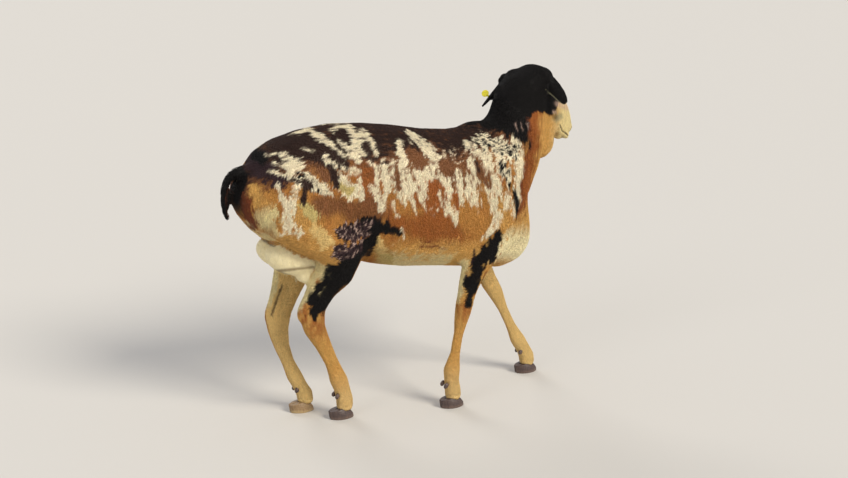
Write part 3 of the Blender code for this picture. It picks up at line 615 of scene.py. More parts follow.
def wandering(points, labels, regions):
    """The photograph's pixel for each point, moved about so that outlines wander."""
    x, y = to_photo(as_right(points, labels))
    trunk = regions["torso"] | regions["neck"]
    body = WARP * (trunk | regions["upper"])
    left = ramp(0.01, 0.06, points[:, 1]) * trunk
    shift = LEFT_WANDER[0] * noise(points, 0.10, 3) + LEFT_OFFSET
    x = x + body * noise(points, 0.020, 13) + left * shift
    y = y + body * noise(points, 0.020, 14) + left * LEFT_WANDER[1] * noise(points, 0.10, 4)
    return x, y


# The middle and the half sizes of the streaked part of the barrel, in pixels.
BARREL = (450, 180, 74, 34)
# How ragged the black marks' edges are beside the others'.
BLACK_TORN = 0.45
# Black marks that start below this pixel also lie on the lower legs.
LEG_MARKS_FROM = 230


class Coat:
    """The coat at a set of points: their regions, as masks, the pixel where each shows on the
    right side, the noise there and the colours painted so far."""

    def __init__(self, points, normals, labels):
        self.points = points
        self.normals = normals
        self.on = {key: np.isin(labels, nodes_with(key)) for key in (*REGIONS, "ear_right")}
        self.x, self.y = wandering(points, labels, self.on)
        self.streak = streaks(points, 5, 0.006, 0.024)
        self.broad = noise(points, 0.045, 7)
        self.fine = noise(points, (0.0022, 0.0022, 0.006), 8)
        torn = 0.75 * self.streak + 0.55 * streaks(points, 15, 0.0035, 0.013)
        self.ragged = torn + 0.25 * self.fine
        self.colours = np.tile(linear(COLOURS["tan"]), (len(points), 1))

    def lay(self, *layers):
        """Lays named colours over the coat in turn, each by an amount of 0 to 1."""
        for name, amount in layers:
            self.colours = tinted(self.colours, name, amount)


def painted(points, normals, labels):
    """The colour of the coat at each point."""
    coat = Coat(points, normals, labels)
    coat.lay(("rust", np.clip(0.30 + 0.5 * coat.streak + 0.4 * coat.broad, 0, 1)))
    for colour, stroke in strokes(WASHES):
        inside, _ = distance_inside(coat.x, coat.y, stroke)
        coat.lay((colour, 0.85 * ramp(-6, 5, inside + 4 * coat.broad + 4 * coat.ragged)))
    paint_back(coat)
    paint_barrel(coat)
    paint_marks(coat)
    paint_underside(coat)
    paint_front(coat)
    paint_legs(coat)
    paint_head(coat)
    paint_rear(coat)
    vary = 1 - 0.75 * coat.on["udder"] - 0.5 * coat.on["lower"]
    grain = 1 + vary * (0.14 * coat.fine + 0.10 * coat.streak)
    return np.clip(coat.colours * grain[:, None], 0, 1)


def paint_barrel(coat):
    """White wisps over the barrel."""
    x, y, wide, high = BARREL
    near = ramp(1.15, 0.75, np.hypot((coat.x - x) / wide, (coat.y - y) / high))
    coat.lay(("white", 0.65 * near * ramp(0.38, 0.62, coat.ragged)))


def paint_marks(coat):
    """Every mark in turn; the black ones have a smoother edge, the white ones hold flecks."""
    torn = streaks(coat.points, 31, 0.0042, 0.016) + 0.25 * coat.fine
    whole = 1 - 0.75 * ramp(0.26, 0.54, torn)
    shown = marks_shown(coat.points, coat.normals)
    for colour, stroke in strokes(MARKS):
        ragged = coat.ragged * (BLACK_TORN if colour == "black" else 1)
        mask = shown * stroke_mask(coat.x, coat.y, stroke, ragged)
        if colour in ("roan", "speckle"):
            paint_mixed(coat, mask, colour)
        else:
            coat.lay((colour, mask * whole if colour == "white" else mask))


def marks_shown(points, normals):
    """The marks stop short of the chest's front, the belly and the space between the legs."""
    shown = ramp(-0.85, -0.55, normals[:, 2]) * ramp(0.85, 0.60, normals[:, 0])
    low = ramp(0.52, 0.46, points[:, 2])
    return shown * (1 - low * ramp(0.060, 0.035, np.abs(points[:, 1])))


def paint_back(coat):
    """The dark band along the back, brown at its lower edge and in wisps within it."""
    below = coat.y - along_line(BACK_LINE, coat.x) - along_line(BAND_DEPTH, coat.x)
    dark = ramp(9, -5, below + 11 * coat.ragged)
    coat.lay(
        ("brown", ramp(26, 6, below + 14 * coat.ragged)),
        ("dark", dark),
        ("brown", 0.32 * dark * ramp(0.25, 0.6, coat.ragged)),
    )


def paint_mixed(coat, mask, kind):
    """Hair of two colours mixed: white with fine black flecks, or dark with pinkish ones."""
    grain = noise(coat.points, (0.0040, 0.0040, 0.0075), 9) + 0.5 * coat.fine
    if kind == "roan":
        torn = grain + 0.3 * coat.ragged
        coat.lay(("white", mask * ramp(-0.30, 0.0, torn)))
        coat.lay(("black", mask * ramp(0.05, -0.25, torn)))
    else:
        coat.lay(
            ("purple", mask),
            ("pink", 0.70 * mask * ramp(0.22, 0.55, grain)),
            ("black", 0.8 * mask * ramp(-0.25, -0.55, grain)),
        )


# Painted shade: in the fold under the bag, in the hollow beside it, and grey along its upper border.
UDDER_SHADE_MARKS = (
    ("shadow", (273, 271.5, 322, 266, 1, 0.7), (280, 275, 290, 279, 3, 3.4)),
    ("grey", (260, 242, 274, 245, 1.6, 1.2)),
)
# Painted shade: a thin dark line in the groove down the back of the left gaskin's inner side.
GASKIN_SHADE_LINE = (283, 284, 269, 322, 1.0, 1.2)


def paint_underside(coat):
    """Belly and the space between the thighs are cream; the udder is bare and pale, with painted
    shade at its fold.
    """
    below = ramp(-0.45, -0.85, coat.normals[:, 2] + 0.25 * coat.streak) * coat.on["torso"]
    bag = coat.on["udder"].astype(float)
    coat.lay(("cream", 0.85 * below), ("udder", bag))
    x, y = to_photo(on_right(coat.points))
    # Painted shade in the fold under the bag, the hollow beside it and along its upper border.
    for colour, stroke in strokes(UDDER_SHADE_MARKS):
        inside, _ = distance_inside(x, y, stroke)
        coat.lay((colour, 0.75 * bag * ramp(-1.6, 0.6, inside)))


# Where the rust of the neck's side begins and where it turns gold, by height in the
# photograph; the lower edge of the black cap on the neck; the rear edge of the brisket.
RUST_EDGE = ((110, 534), (120, 528), (140, 529), (160, 524), (185, 521), (215, 519), (235, 512))
GOLD_EDGE = ((110, 543), (120, 540), (140, 539), (165, 535), (195, 530), (215, 521))
CAP_BASE = ((440, 118), (480, 127), (505, 134), (520, 140), (534, 146))
BRISKET_EDGE = ((218, 518), (232, 502), (250, 490), (270, 483))
# Where each of the few light hairs in the black of the neck begins.
NECK_HAIRS = (516, 521, 526)


def paint_throat(coat, x, y, amount):
    """Dark rust that turns to gold and then to cream toward the front of the throat."""
    ahead = x - along_line(GOLD_EDGE, y)
    coat.lay(
        ("brick", amount),
        ("rust", amount * ramp(0, 5, x - along_line(RUST_EDGE, y) + 2 * coat.ragged)),
        ("gold", amount * ramp(-4, 5, ahead + 3 * coat.ragged)),
        ("cream", 0.8 * amount * ramp(8, 24, ahead + 4 * coat.ragged)),
    )


def paint_front(coat):
    """Black neck with a few light hairs, a rust stripe down its side, and a pale chest."""
    x, y = coat.x, coat.y
    neck = (coat.on["neck"] | coat.on["torso"]).astype(float)
    ahead = neck * ramp(-1.5, 1.5, x - along_line(RUST_EDGE, y) + 2.5 * coat.ragged)
    black = ramp(3, -3, y - along_line(CAP_BASE, x) + 6 * coat.ragged)
    coat.lay(("black", black * neck * (x > CAP_BASE[0][0]) * (1 - ahead)))
    for start in NECK_HAIRS:
        hair = stroke_mask(x, y, (start, 122, start + 2, 129, 0.7, 0.5), 0.6 * coat.ragged)
        coat.lay(("pink", 0.55 * neck * hair))
    paint_throat(coat, x, y, ahead)
    paint_brisket(coat, neck, coat.ragged)


def paint_brisket(coat, amount, ragged):
    """The pale front of the chest, golden along its upper edge."""
    amount = amount * ramp(-2, 3, coat.x - along_line(BRISKET_EDGE, coat.y) + 2 * ragged)
    amount = amount * ramp(214, 224, coat.y + 4 * ragged)
    coat.lay(("gold", amount), ("udder", amount * ramp(220, 238, coat.y + 5 * ragged)))


def paint_legs(coat):
    """Golden legs, paler inside and at the pasterns, dark only on their outer side."""
    px, py, pz = coat.points.T
    streak = coat.streak
    outer = np.sign(py) * coat.normals[:, 1]
    outward = ramp(-0.55, -0.15, outer)
    dark = outward * leg_black(coat)
    lower = coat.on["lower"].astype(float)
    hock = ramp(0.19, 0.29, pz) * outward * np.clip(0.6 + streak, 0, 1)
    coat.lay(
        ("gold", lower),
        ("tan", lower * np.clip(0.15 + 0.6 * streak, 0, 1) * 0.5),
        ("rust", 0.9 * lower * hock),
        ("cream", lower * ramp(0.15, 0.05, pz) * 0.40),
        ("straw", 0.85 * lower * ramp(0.1, -0.6, outer)),
        ("black", dark * lower),
    )
    upper = coat.on["upper"] * (1 - dark)
    fore = upper * (px > 0)
    coat.lay(
        ("gold", upper * ramp(0.15, -0.35, outer) * 0.95),
        ("straw", upper * ramp(0.05, -0.75, outer + 0.2 * streak) * 0.8),
        ("gold", fore * ramp(0.50, 0.42, pz) * outward * 0.85),
    )
    paint_brisket(coat, fore * ramp(266, 254, coat.y), streak)
    rear = coat.on["upper"] * ramp(-0.55, -0.85, coat.normals[:, 0] + 0.2 * streak)
    gaskin = coat.on["upper"] * (px < 0) * (py > 0) * ramp(0.2, -0.2, outer)
    line = stroke_mask(*to_photo(coat.points), GASKIN_SHADE_LINE, 0.4 * streak)
    coat.lay(
        ("cream", rear * ramp(0.47, 0.42, pz) * ramp(0.27, 0.31, pz)),
        # Painted shade in the groove behind the left gaskin, on its inner side.
        ("dark", 0.8 * gaskin * line),
    )


def leg_black(coat):
    """How black the legs' own marks make each point."""
    dark = np.zeros(len(coat.points))
    for colour, stroke in strokes(MARKS):
        if colour == "black" and stroke[1] > LEG_MARKS_FROM:
            dark = np.maximum(dark, stroke_mask(coat.x, coat.y, stroke, coat.streak))
    return dark


# Where the black cap ends and the pale jaw and muzzle begin, as the photograph shows them.
CAP_EDGE = ((524, 132), (531, 118), (535, 113), (545, 113), (548, 115.5), (552, 116),
            (556.5, 110), (559, 103), (562, 99), (580, 96))
HEAD_MARKS = (
    ("pink", (558, 104, 567, 107, 2.6, 3.4)),
    # A grey-green wedge of painted shade between the jaw and the muzzle.
    ("sage", (556, 121, 559.5, 117, 2, 3)),
    ("black", (554, 111, 555.5, 118, 2.6, 2.4)),
    # A tiny painted highlight beside the dark spot.
    ("pink", (554, 112.5, 555.5, 112.5, 0.8, 0.8)),
)
# A painted highlight: the pale, lit rim along the lower edge of the right ear.
EAR_RIM_HIGHLIGHT = (543.8, 88, 559.7, 102.7, 1.0, 0.8)


def paint_head(coat):
    """A black cap and ears, with a pale muzzle and jaw, alike on both sides."""
    local = in_head(coat.points)
    along, _, high = local.T
    head = coat.on["head"].astype(float)
    x, y = to_photo(from_head(on_right(local)))
    pale = ramp(-1.2, 1.2, y - along_line(CAP_EDGE, x) + 1.5 * coat.ragged) * head
    coat.lay(("black", head))
    paint_throat(coat, x, y, pale)
    coat.lay(("cream", 0.85 * pale * ramp(556, 563, x + 2 * coat.ragged)))
    # The head's marks, with painted shade and a small painted highlight among them.
    for colour, stroke in strokes(HEAD_MARKS):
        inside, _ = distance_inside(x, y, stroke)
        coat.lay((colour, 0.55 * head * ramp(-2.2, 1.4, inside + coat.ragged)))
    slit = np.linalg.norm(from_nostril(local) / NOSTRIL_SHADE, axis=1)
    lips = ramp(0.0022, 0.0008, np.abs(high - along_line(MOUTH_LINE, along)))
    coat.lay(
        ("grey", 0.6 * head * ramp(0.186, 0.196, along) * ramp(-0.014, -0.004, high)),
        # Painted shade inside the nostrils.
        ("black", head * ramp(1.1, 0.6, slit)),
        # Painted shade along the parting of the lips.
        ("dark", 0.85 * head * lips * ramp(0.128, 0.140, along)),
    )
    for side in SIDES:
        far, _, outside = lid_edge(coat.points, side)
        coat.lay(("black", (far < EYEBALL + LID_WIDTH) * ramp(0.30, 0.12, outside)))
    # Painted highlight along the lower rim of the right ear.
    rim = stroke_mask(*to_photo(coat.points), EAR_RIM_HIGHLIGHT, 0.2 * coat.ragged)
    coat.lay(("black", coat.on["ear"].astype(float)), ("sage", coat.on["ear_right"] * rim))


def from_nostril(local):
    """How far each point of the head lies from the nostril on its own side."""
    along, side, high = local.T
    return np.stack([along, np.abs(side), high], 1) - NOSTRIL_AT


def paint_rear(coat):
    """The black tail with a reddish underside, and black hair round its root."""
    px, py, pz = coat.points.T
    tail = coat.on["tail"].astype(float)
    back = ramp(-0.455, -0.475, px) * ramp(0.520, 0.545, pz) * coat.on["torso"]
    middle = ramp(0.062, 0.040, np.abs(py) + 0.010 * coat.streak)
    coat.lay(
        ("black", tail),
        ("brick", 0.35 * tail * ramp(0.2, 0.8, coat.normals[:, 0] + 0.3 * coat.streak)),
        ("black", 0.9 * back * middle),
    )


# The way the hair lies on the back and on the flanks.
LIE_ON_BACK = (-1.0, 0, -0.10)
LIE_ON_SIDE = (-0.45, 0, -0.90)
DOWN = (0, 0, -1.0)


def axis_of(node, toward):
    """The long direction of a node, pointing the way given."""
    points = welded(node)[0]
    long_way = np.linalg.svd(points - points.mean(0), full_matrices=False)[2][0]
    return long_way * (1 if long_way @ np.asarray(toward, float) > 0 else -1)


def lie_of_coat(points, normals, labels, edges):
    """The way the hair lies at each point of the skin, along the surface."""
    ways = {"neck": (-0.35, 0, -0.94), "head": -head_axes()[0], "udder": (0.3, 0, -0.9)}
    flow = np.zeros_like(points)
    for index, name in enumerate(skin_nodes()):
        if name != "torso":
            flow[labels == index] = ways[name] if name in ways else axis_of(name, DOWN)
    torso = labels == skin_nodes().index("torso")
    down = ramp(0.90, 0.25, np.abs(normals[torso, 2]))[:, None]
    rear = ramp(-0.40, -0.47, points[torso, 0])[:, None]
    lie = np.array(LIE_ON_BACK) * (1 - down) + np.array(LIE_ON_SIDE) * down
    flow[torso] = lie * (1 - rear) + np.array(DOWN) * rear
    flow = spread(unit(flow), edges, 24)
    flow -= normals * (flow * normals).sum(1)[:, None]
    return unit(flow)


def mound(points, normals, centre, reach, height, facing=None):
    """Raises the skin softly around a point, or sinks it where the height is below zero."""
    weight = np.exp(-(((points - centre) / reach) ** 2).sum(1))
    if facing is not None:
        weight = weight * ramp(-0.1, 0.5, normals @ unit(np.asarray(facing, float)))
    return normals * (weight * height)[:, None]


# The root of the right ear, in the head's own frame.
EAR_ROOT = (-0.022, -0.036, 0.036)
EAR_ROOT_REACH = (0.022, 0.022, 0.022)
EAR_ROOT_HEIGHT = 0.0050
# Place on the left side, reach, height, and whether it acts on outward skin alone: the hip,
# the pin bone, the hollow of the flank, the stifle, the shoulder blade and the hollow
# behind it, the point of the shoulder and the elbow.
RELIEF = (
    ((-0.275, 0.098, 0.715), (0.030, 0.028, 0.024), 0.0060, False),
    ((-0.448, 0.050, 0.625), (0.022, 0.020, 0.026), 0.0050, False),
    ((-0.205, 0.130, 0.640), (0.055, 0.050, 0.055), -0.0090, True),
    ((-0.250, 0.120, 0.470), (0.050, 0.040, 0.050), 0.0050, True),
    ((0.190, 0.110, 0.610), (0.022, 0.050, 0.085), 0.0050, True),
    ((0.150, 0.120, 0.600), (0.020, 0.050, 0.080), -0.0035, True),
    ((0.268, 0.095, 0.520), (0.030, 0.030, 0.032), 0.0060, False),
    ((0.160, 0.125, 0.475), (0.040, 0.040, 0.030), 0.0045, True),
)
RIB_COUNT = 7
RIB_FIRST = 0.095
RIB_STEP = 0.036
RIB_LEAN = 0.20
RIB_WIDTH = 0.008
RIB_HEIGHT = 0.0011


def body_relief(points, normals):
    """Bones, muscles and hollows that show through the short coat, on both sides."""
    moved = mound(points, normals, from_head(EAR_ROOT), EAR_ROOT_REACH, EAR_ROOT_HEIGHT)
    for side in SIDES:
        for (x, y, z), reach, height, outward in RELIEF:
            facing = (0, side, 0.2) if outward else None
            moved += mound(points, normals, (x, side * y, z), reach, height, facing)
        moved += ribs(points, normals, side)
    return moved


def ribs(points, normals, side):
    """Faint ribs that lean backward down the flank."""
    x, _, z = points.T
    shown = ramp(0.42, 0.50, z) * ramp(0.70, 0.62, z) * ramp(0.4, 0.8, side * normals[:, 1])
    first = RIB_FIRST - RIB_LEAN * (0.60 - z)
    raised = sum(bell((x - first + RIB_STEP * rib) / RIB_WIDTH) for rib in range(RIB_COUNT))
    return normals * (raised * shown * RIB_HEIGHT)[:, None]


# Reach and height of the swellings at the knee or hock, the fetlock and the hoof's crown,
# and where the crown lies over the pastern's last point.
JOINT_REACH = ((0.030, 0.026, 0.024), (0.022, 0.022, 0.016), (0.050, 0.040, 0.007))
JOINT_HEIGHT = (0.0016, 0.0016, 0.0030)
CROWN_UP = (0, 0, 0.004)
# The groove in front of the cord behind the shin, and the hollow over the hock.
CORD_DEPTH = 0.0016
HOCK_HOLLOW = 0.0045


def leg_relief(points, normals):
    """Knees, hocks, fetlocks, the crowns of the hooves and the cords behind the shins."""
    moved = np.zeros_like(points)
    px, py, pz = points.T
    for name, line in LEG_LINES.items():
        line = np.array(line)
        knee, fetlock, crown = line[3], line[5], line[6] + CROWN_UP
        for place, reach, height in zip((knee, fetlock, crown), JOINT_REACH, JOINT_HEIGHT):
            moved += mound(points, normals, place, reach, height)
        x, y, z = line[::-1].T
        behind = px - np.interp(pz, z, x)
        near = ramp(0.07, 0.03, np.hypot(behind, py - np.interp(pz, z, y)))
        low, high = fetlock[2], knee[2]
        span = ramp(low + 0.012, low + 0.04, pz) * ramp(high - 0.01, high - 0.05, pz)
        moved -= normals * (bell((behind + 0.006) / 0.004) * span * near * CORD_DEPTH)[:, None]
        if name.startswith("hind"):
            span = ramp(high + 0.010, high + 0.05, pz) * ramp(high + 0.13, high + 0.08, pz)
            hollow = bell((behind + 0.012) / 0.008) * ramp(0.3, 0.8, np.abs(normals[:, 1]))
            moved -= normals * (hollow * span * near * HOCK_HOLLOW)[:, None]
    return moved


def eye_axes(side):
    """The middle of an eyeball and its axes: outward, along the face and upward."""
    forward, left, up = head_axes()
    out = unit(EYE_FACING[0] * forward + side * EYE_FACING[1] * left + EYE_FACING[2] * up)
    along = unit(forward - out * (forward @ out))
    return eye_centre(side), out, along, np.cross(along, out) * side


# The opening between the lids as shares of the eyeball's radius: half length, and height
# above and below the middle; then the lids' thickness and how deep the eyeball shows.
LID_LENGTH = 0.90
LID_ABOVE = 0.56
LID_BELOW = 0.42
LID_THICK = 0.0020
LID_DEPTH = 0.0026
# How far out from the eyeball the lids' bare black skin reaches.
LID_WIDTH = 0.008


def lid_edge(points, side):
    """Distance and direction from the eyeball's middle, and how far outside its opening."""
    centre, out, along, rise = eye_axes(side)
    rel = points - centre
    far = np.linalg.norm(rel, axis=1)
    facing = rel / np.maximum(far, 1e-9)[:, None]
    a, b, front = facing @ along, facing @ rise, facing @ out
    height = np.where(b > 0, LID_ABOVE, LID_BELOW) * (1 - np.minimum(np.abs(a) / LID_LENGTH, 1) ** 2)
    outside = np.maximum(np.abs(b) - height, np.abs(a) - LID_LENGTH)
    return far, facing, np.where(front > 0, outside, 1.0)


def with_lids(points):
    """Opens an almond in the skin over each eyeball and lays a lid round it."""
    for side in SIDES:
        far, facing, outside = lid_edge(points, side)
        near = ramp(EYEBALL + 0.012, EYEBALL + 0.006, far) * (outside < 0.9)
        rim = LID_THICK * (1 + 0.7 * bell((outside - 0.12) / 0.10))
        covered = np.maximum(far, EYEBALL + rim * ramp(0.75, 0.45, outside))
        open_share = ramp(0.03, -0.05, outside)
        target = covered * (1 - open_share) + (EYEBALL - LID_DEPTH) * open_share
        points = points + facing * ((target - far) * near)[:, None]
    return points


# The parting of the lips and the lips over and under it: place above the mouth's line, half
# width and height.
MOUTH_PROFILE = ((0, 0.0013, -0.0024), (0.0048, 0.0028, 0.0010), (-0.0050, 0.0028, 0.0010))
CLEFT_DEPTH = 0.0016
NOSTRIL_DEPTH = 0.0042


def face_lines(points, normals):
    """The parting of the lips, the lips themselves, the cleft of the nose and the nostrils."""
    local = in_head(points)
    along, side, high = local.T
    on_mouth = ramp(0.126, 0.142, along)
    away = high - along_line(MOUTH_LINE, along)
    moved = np.zeros(len(points))
    for place, half_width, height in MOUTH_PROFILE:
        moved = moved + height * on_mouth * bell((away - place) / half_width)
    cleft = bell(side / 0.0014) * ramp(0.184, 0.196, along) * ramp(-0.022, -0.012, high)
    hole = np.exp(-((from_nostril(local) / NOSTRIL_HOLE) ** 2).sum(1))
    return normals * (moved - CLEFT_DEPTH * cleft - NOSTRIL_DEPTH * hole)[:, None]


def fine_places(points):
    """The muzzle and the eyes, where the skin is refined a second time."""
    picked = (np.abs(in_head(points) - MUZZLE_AT) < MUZZLE_HALF).all(1)
    for side in SIDES:
        picked |= np.linalg.norm(points - eye_centre(side), axis=1) < EYE_REGION
    return picked


def set_points(obj, points):
    obj.data.vertices.foreach_set("co", points.astype(np.float32).ravel())


def build_skin():
    """The skin, the number of the node nearest to each of its points, and its edges."""
    obj = fused_flesh()
    points, triangles = mesh_arrays(obj.data)
    tree, owner = node_lookup()
    labels = nearest_node(points, tree, owner)
    edges = edge_list(triangles)
    share = spread(region_values(labels)[:, SMOOTHING], edges, 5)
    set_points(obj, softened(points, edges, share, SMOOTH_PASSES))
    points, triangles = refined(obj, np.isin(labels, nodes_with("head", "ear")))
    points, triangles = refined(obj, fine_places(points))
    labels = nearest_node(points, tree, owner)
    edges = edge_list(triangles)
    head = np.isin(labels, nodes_with("head", "ear"))
    weight = ramp(0.3, 0.9, spread(head, edges, 6))
    points = drawn_to_nodes(points, tree, weight)
    points = softened(points, edges, 0.9 * weight, 4)
    normals = normals_of(points, triangles)
    depth = spread(region_values(labels)[:, DEPTH] + GROW * (1 - weight), edges, 4)
    points = points - normals * depth[:, None]
    points = points + body_relief(points, normals) + leg_relief(points, normals)
    set_points(obj, with_lids(points + face_lines(points, normals)))
    obj.data.update()
    obj.data.shade_smooth()
    return obj, labels, edges


def drawn_to_nodes(points, tree, weight):
    """Brings the finer points of the head and ears down on the solids' own surface."""
    moved = points.copy()
    for index in np.flatnonzero(weight > 0.01):
        on = np.array(tree.find_nearest(points[index].tolist())[0])
        moved[index] += (on - points[index]) * weight[index]
    return moved


# The share of its length times its width that a tuft covers.
TUFT_COVER = 0.55
# How far each tuft swings from the lie of the coat at random and with its neighbours, in
# radians, and the range of its length, its width, its lift and its brightness.
TUFT_SWING = (0.16, 0.25)
LENGTH_RANGE = (0.7, 1.25)
WIDTH_RANGE = (0.7, 1.3)
LIFT_RANGE = (0.45, 1.15)
BRIGHTNESS_RANGE = (0.87, 1.15)
# How deep a tuft's root lies under the skin, how far along it is widest and how far it
# stands off there, and how high its ridge is beside its width.
TUFT_BURIED = 0.0006
TUFT_WIDEST = 0.42
TUFT_OFF = (0.0004, 0.35)
TUFT_RIDGE = 0.28
# How far from its root a tuft takes its colour.
TUFT_PAINTED = 0.001
# How much longer the hair is where it hangs over the crown of the hoof.
CROWN_HAIR = 0.7
# A tuft's triangles by its corners, how bright each corner is beside its colour (darker at the root,
# as painted shade among the hairs), and where each lies on its patch of the unwrap, which is PATCH
# across.
TUFT_FACES = np.array(((0, 1, 3), (0, 3, 2), (1, 4, 3), (3, 4, 2), (0, 2, 1), (1, 2, 4)))
TUFT_SHADE = np.array((0.80, 0.95, 0.95, 1.0, 1.12))
TUFT_PATCH = ((0, 0), (0.35, 0.5), (0.35, -0.5), (0.5, 0), (1, 0))
PATCH = 0.003
# The most triangles in one piece of the coat.
PIECE_TRIANGLES = 198000
# The pieces of the coat and the nodes that each covers.
COAT_GROUPS = {
    "coat_torso": ("torso",),
    "coat_neck": ("neck", "head", "ear"),
    "coat_hind_upper": ("hind_right_upper", "hind_left_upper", "tail", "udder"),
    "coat_fore_upper": ("fore_right_upper", "fore_left_upper"),
    "coat_lower": ("lower",),
}


def roots(points, normals, triangles, flow, labels, uvs, rng):
    """Where the tufts grow: place, normal, lie, node, place on the unwrap and size."""
    sizes = region_values(labels)[:, TUFT]
    area = 0.5 * np.linalg.norm(face_crosses(points, triangles), axis=1)
    length, width, _, cover = sizes[triangles].mean(1).T
    wanted = area * cover / (length * width * TUFT_COVER)
    count = np.floor(wanted + rng.random(len(wanted))).astype(int)
    face = np.repeat(np.arange(len(triangles)), count)
    share = rng.dirichlet((1, 1, 1), len(face))[:, :, None]
    pick = triangles[face]
    place, normal, lie, own = ((v[pick] * share).sum(1) for v in (points, normals, flow, sizes))
    uv = (uvs[face] * share).sum(1)
    return place, unit(normal), unit(lie), labels[pick[:, 0]], uv, own


def tuft_points(place, normal, along, size, tree, rng):
    """Five corners of each tuft: root, two sides, a ridge and a tip laid on the skin."""
    count = len(place)
    swing = (rng.normal(0, TUFT_SWING[0], count) + TUFT_SWING[1] * noise(place, 0.03, 21))[:, None]
    along = unit(along * np.cos(swing) + np.cross(normal, along) * np.sin(swing))
    across = np.cross(normal, along)
    longer = 1 + CROWN_HAIR * ramp(0.050, 0.036, place[:, 2])
    length = (size[:, 0] * longer * rng.uniform(*LENGTH_RANGE, count))[:, None]
    width = (size[:, 1] * rng.uniform(*WIDTH_RANGE, count))[:, None]
    lift = (size[:, 2] * rng.uniform(*LIFT_RANGE, count))[:, None]
    reach = (place + along * length).tolist()
    tip = np.array([tree.find_nearest(target)[0] for target in reach]) + normal * lift
    root = place - normal * TUFT_BURIED
    middle = root + (tip - root) * TUFT_WIDEST + normal * (TUFT_OFF[0] + TUFT_OFF[1] * lift)
    sides = across * width / 2
    ridge = middle + normal * width * TUFT_RIDGE
    return np.stack([root, middle - sides, middle + sides, ridge, tip], 1)


def build_coat(points, normals, triangles, flow, labels, uvs, look):
    """Thin tufts over the whole skin, in pieces that stay under the limit of triangles."""
    rng = np.random.default_rng(4)
    place, normal, along, label, uv, size = roots(points, normals, triangles, flow, labels, uvs, rng)
    tree = BVHTree.FromPolygons(points.tolist(), triangles.tolist())
    corners = tuft_points(place, normal, along, size, tree, rng)
    colours = painted(place + along * TUFT_PAINTED, normal, label)
    colours = colours * rng.uniform(*BRIGHTNESS_RANGE, len(colours))[:, None]
    most = PIECE_TRIANGLES // len(TUFT_FACES)
    for group, keys in COAT_GROUPS.items():
        mine = np.flatnonzero(np.isin(label, nodes_with(*keys)))
        order = mine[np.argsort(place[mine, 0], kind="stable")]
        parts = math.ceil(len(order) / most)
        for number, chunk in enumerate(np.array_split(order, parts)):
            piece = coat_piece(f"{group}_{number + 1}", corners[chunk], colours[chunk], uv[chunk])
            piece.data.materials.append(look)
            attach(piece, "root")


def coat_piece(name, corners, colours, uv):
    """A piece of the coat: tufts of five corners each, with painted shade at the root and a paler
    tip.
    """
    triangles = (np.arange(len(corners))[:, None, None] * 5 + TUFT_FACES[None]).reshape(-1, 3)
    mesh = make_mesh(name, corners.reshape(-1, 3), triangles)
    shaded = np.clip(colours[:, None, :] * TUFT_SHADE[None, :, None], 0, 1)
    colour_attribute(mesh, shaded.reshape(-1, 3))
    spots = np.array(TUFT_PATCH) * PATCH
    at = uv[:, None, :] + spots[TUFT_FACES.ravel()][None]
    mesh.uv_layers.new(name="OFBake").data.foreach_set("uv", at.astype(np.float32).ravel())
    return add_object(name, mesh)


def colour_attribute(mesh, colours):
    attribute = mesh.color_attributes.new("coat", "BYTE_COLOR", "POINT")
    full = np.ones((len(colours), 4), np.float32)
    full[:, :3] = colours
    attribute.data.foreach_set("color", full.ravel())


UNWRAP_ANGLE = math.radians(60)
UNWRAP_MARGIN = 0.002


def unwrap(obj):
    bpy.ops.object.select_all(action="DESELECT")
    obj.select_set(True)
    bpy.context.view_layer.objects.active = obj
    obj.data.uv_layers.new(name="OFBake")
    bpy.ops.object.mode_set(mode="EDIT")
    bpy.ops.mesh.select_all(action="SELECT")
    bpy.ops.uv.smart_project(angle_limit=UNWRAP_ANGLE, island_margin=UNWRAP_MARGIN)
    bpy.ops.object.mode_set(mode="OBJECT")


def principled(name):
    made = bpy.data.materials.new(name)
    made.use_nodes = True
    return made, made.node_tree.nodes, made.node_tree.links, made.node_tree.nodes["Principled BSDF"]


# For each material: the noise's scale, the darkest and the brightest share of the colour, the
# roughness, the depth of the bump in metres, the clear coat and the specular level.
LOOKS = {
    "coat_skin": (420.0, (0.78, 1.18), 0.62, 0.0008, 0.0, 0.22),
    "coat": (420.0, (0.78, 1.18), 0.62, 0.0, 0.0, 0.22),
    "eye": (900.0, (0.90, 1.10), 0.12, 0.0, 1.0, 0.5),
    "horn": (700.0, (0.75, 1.25), 0.42, 0.0003, 0.0, 0.5),
    "tag": (1500.0, (0.94, 1.06), 0.35, 0.0001, 0.0, 0.5),
}


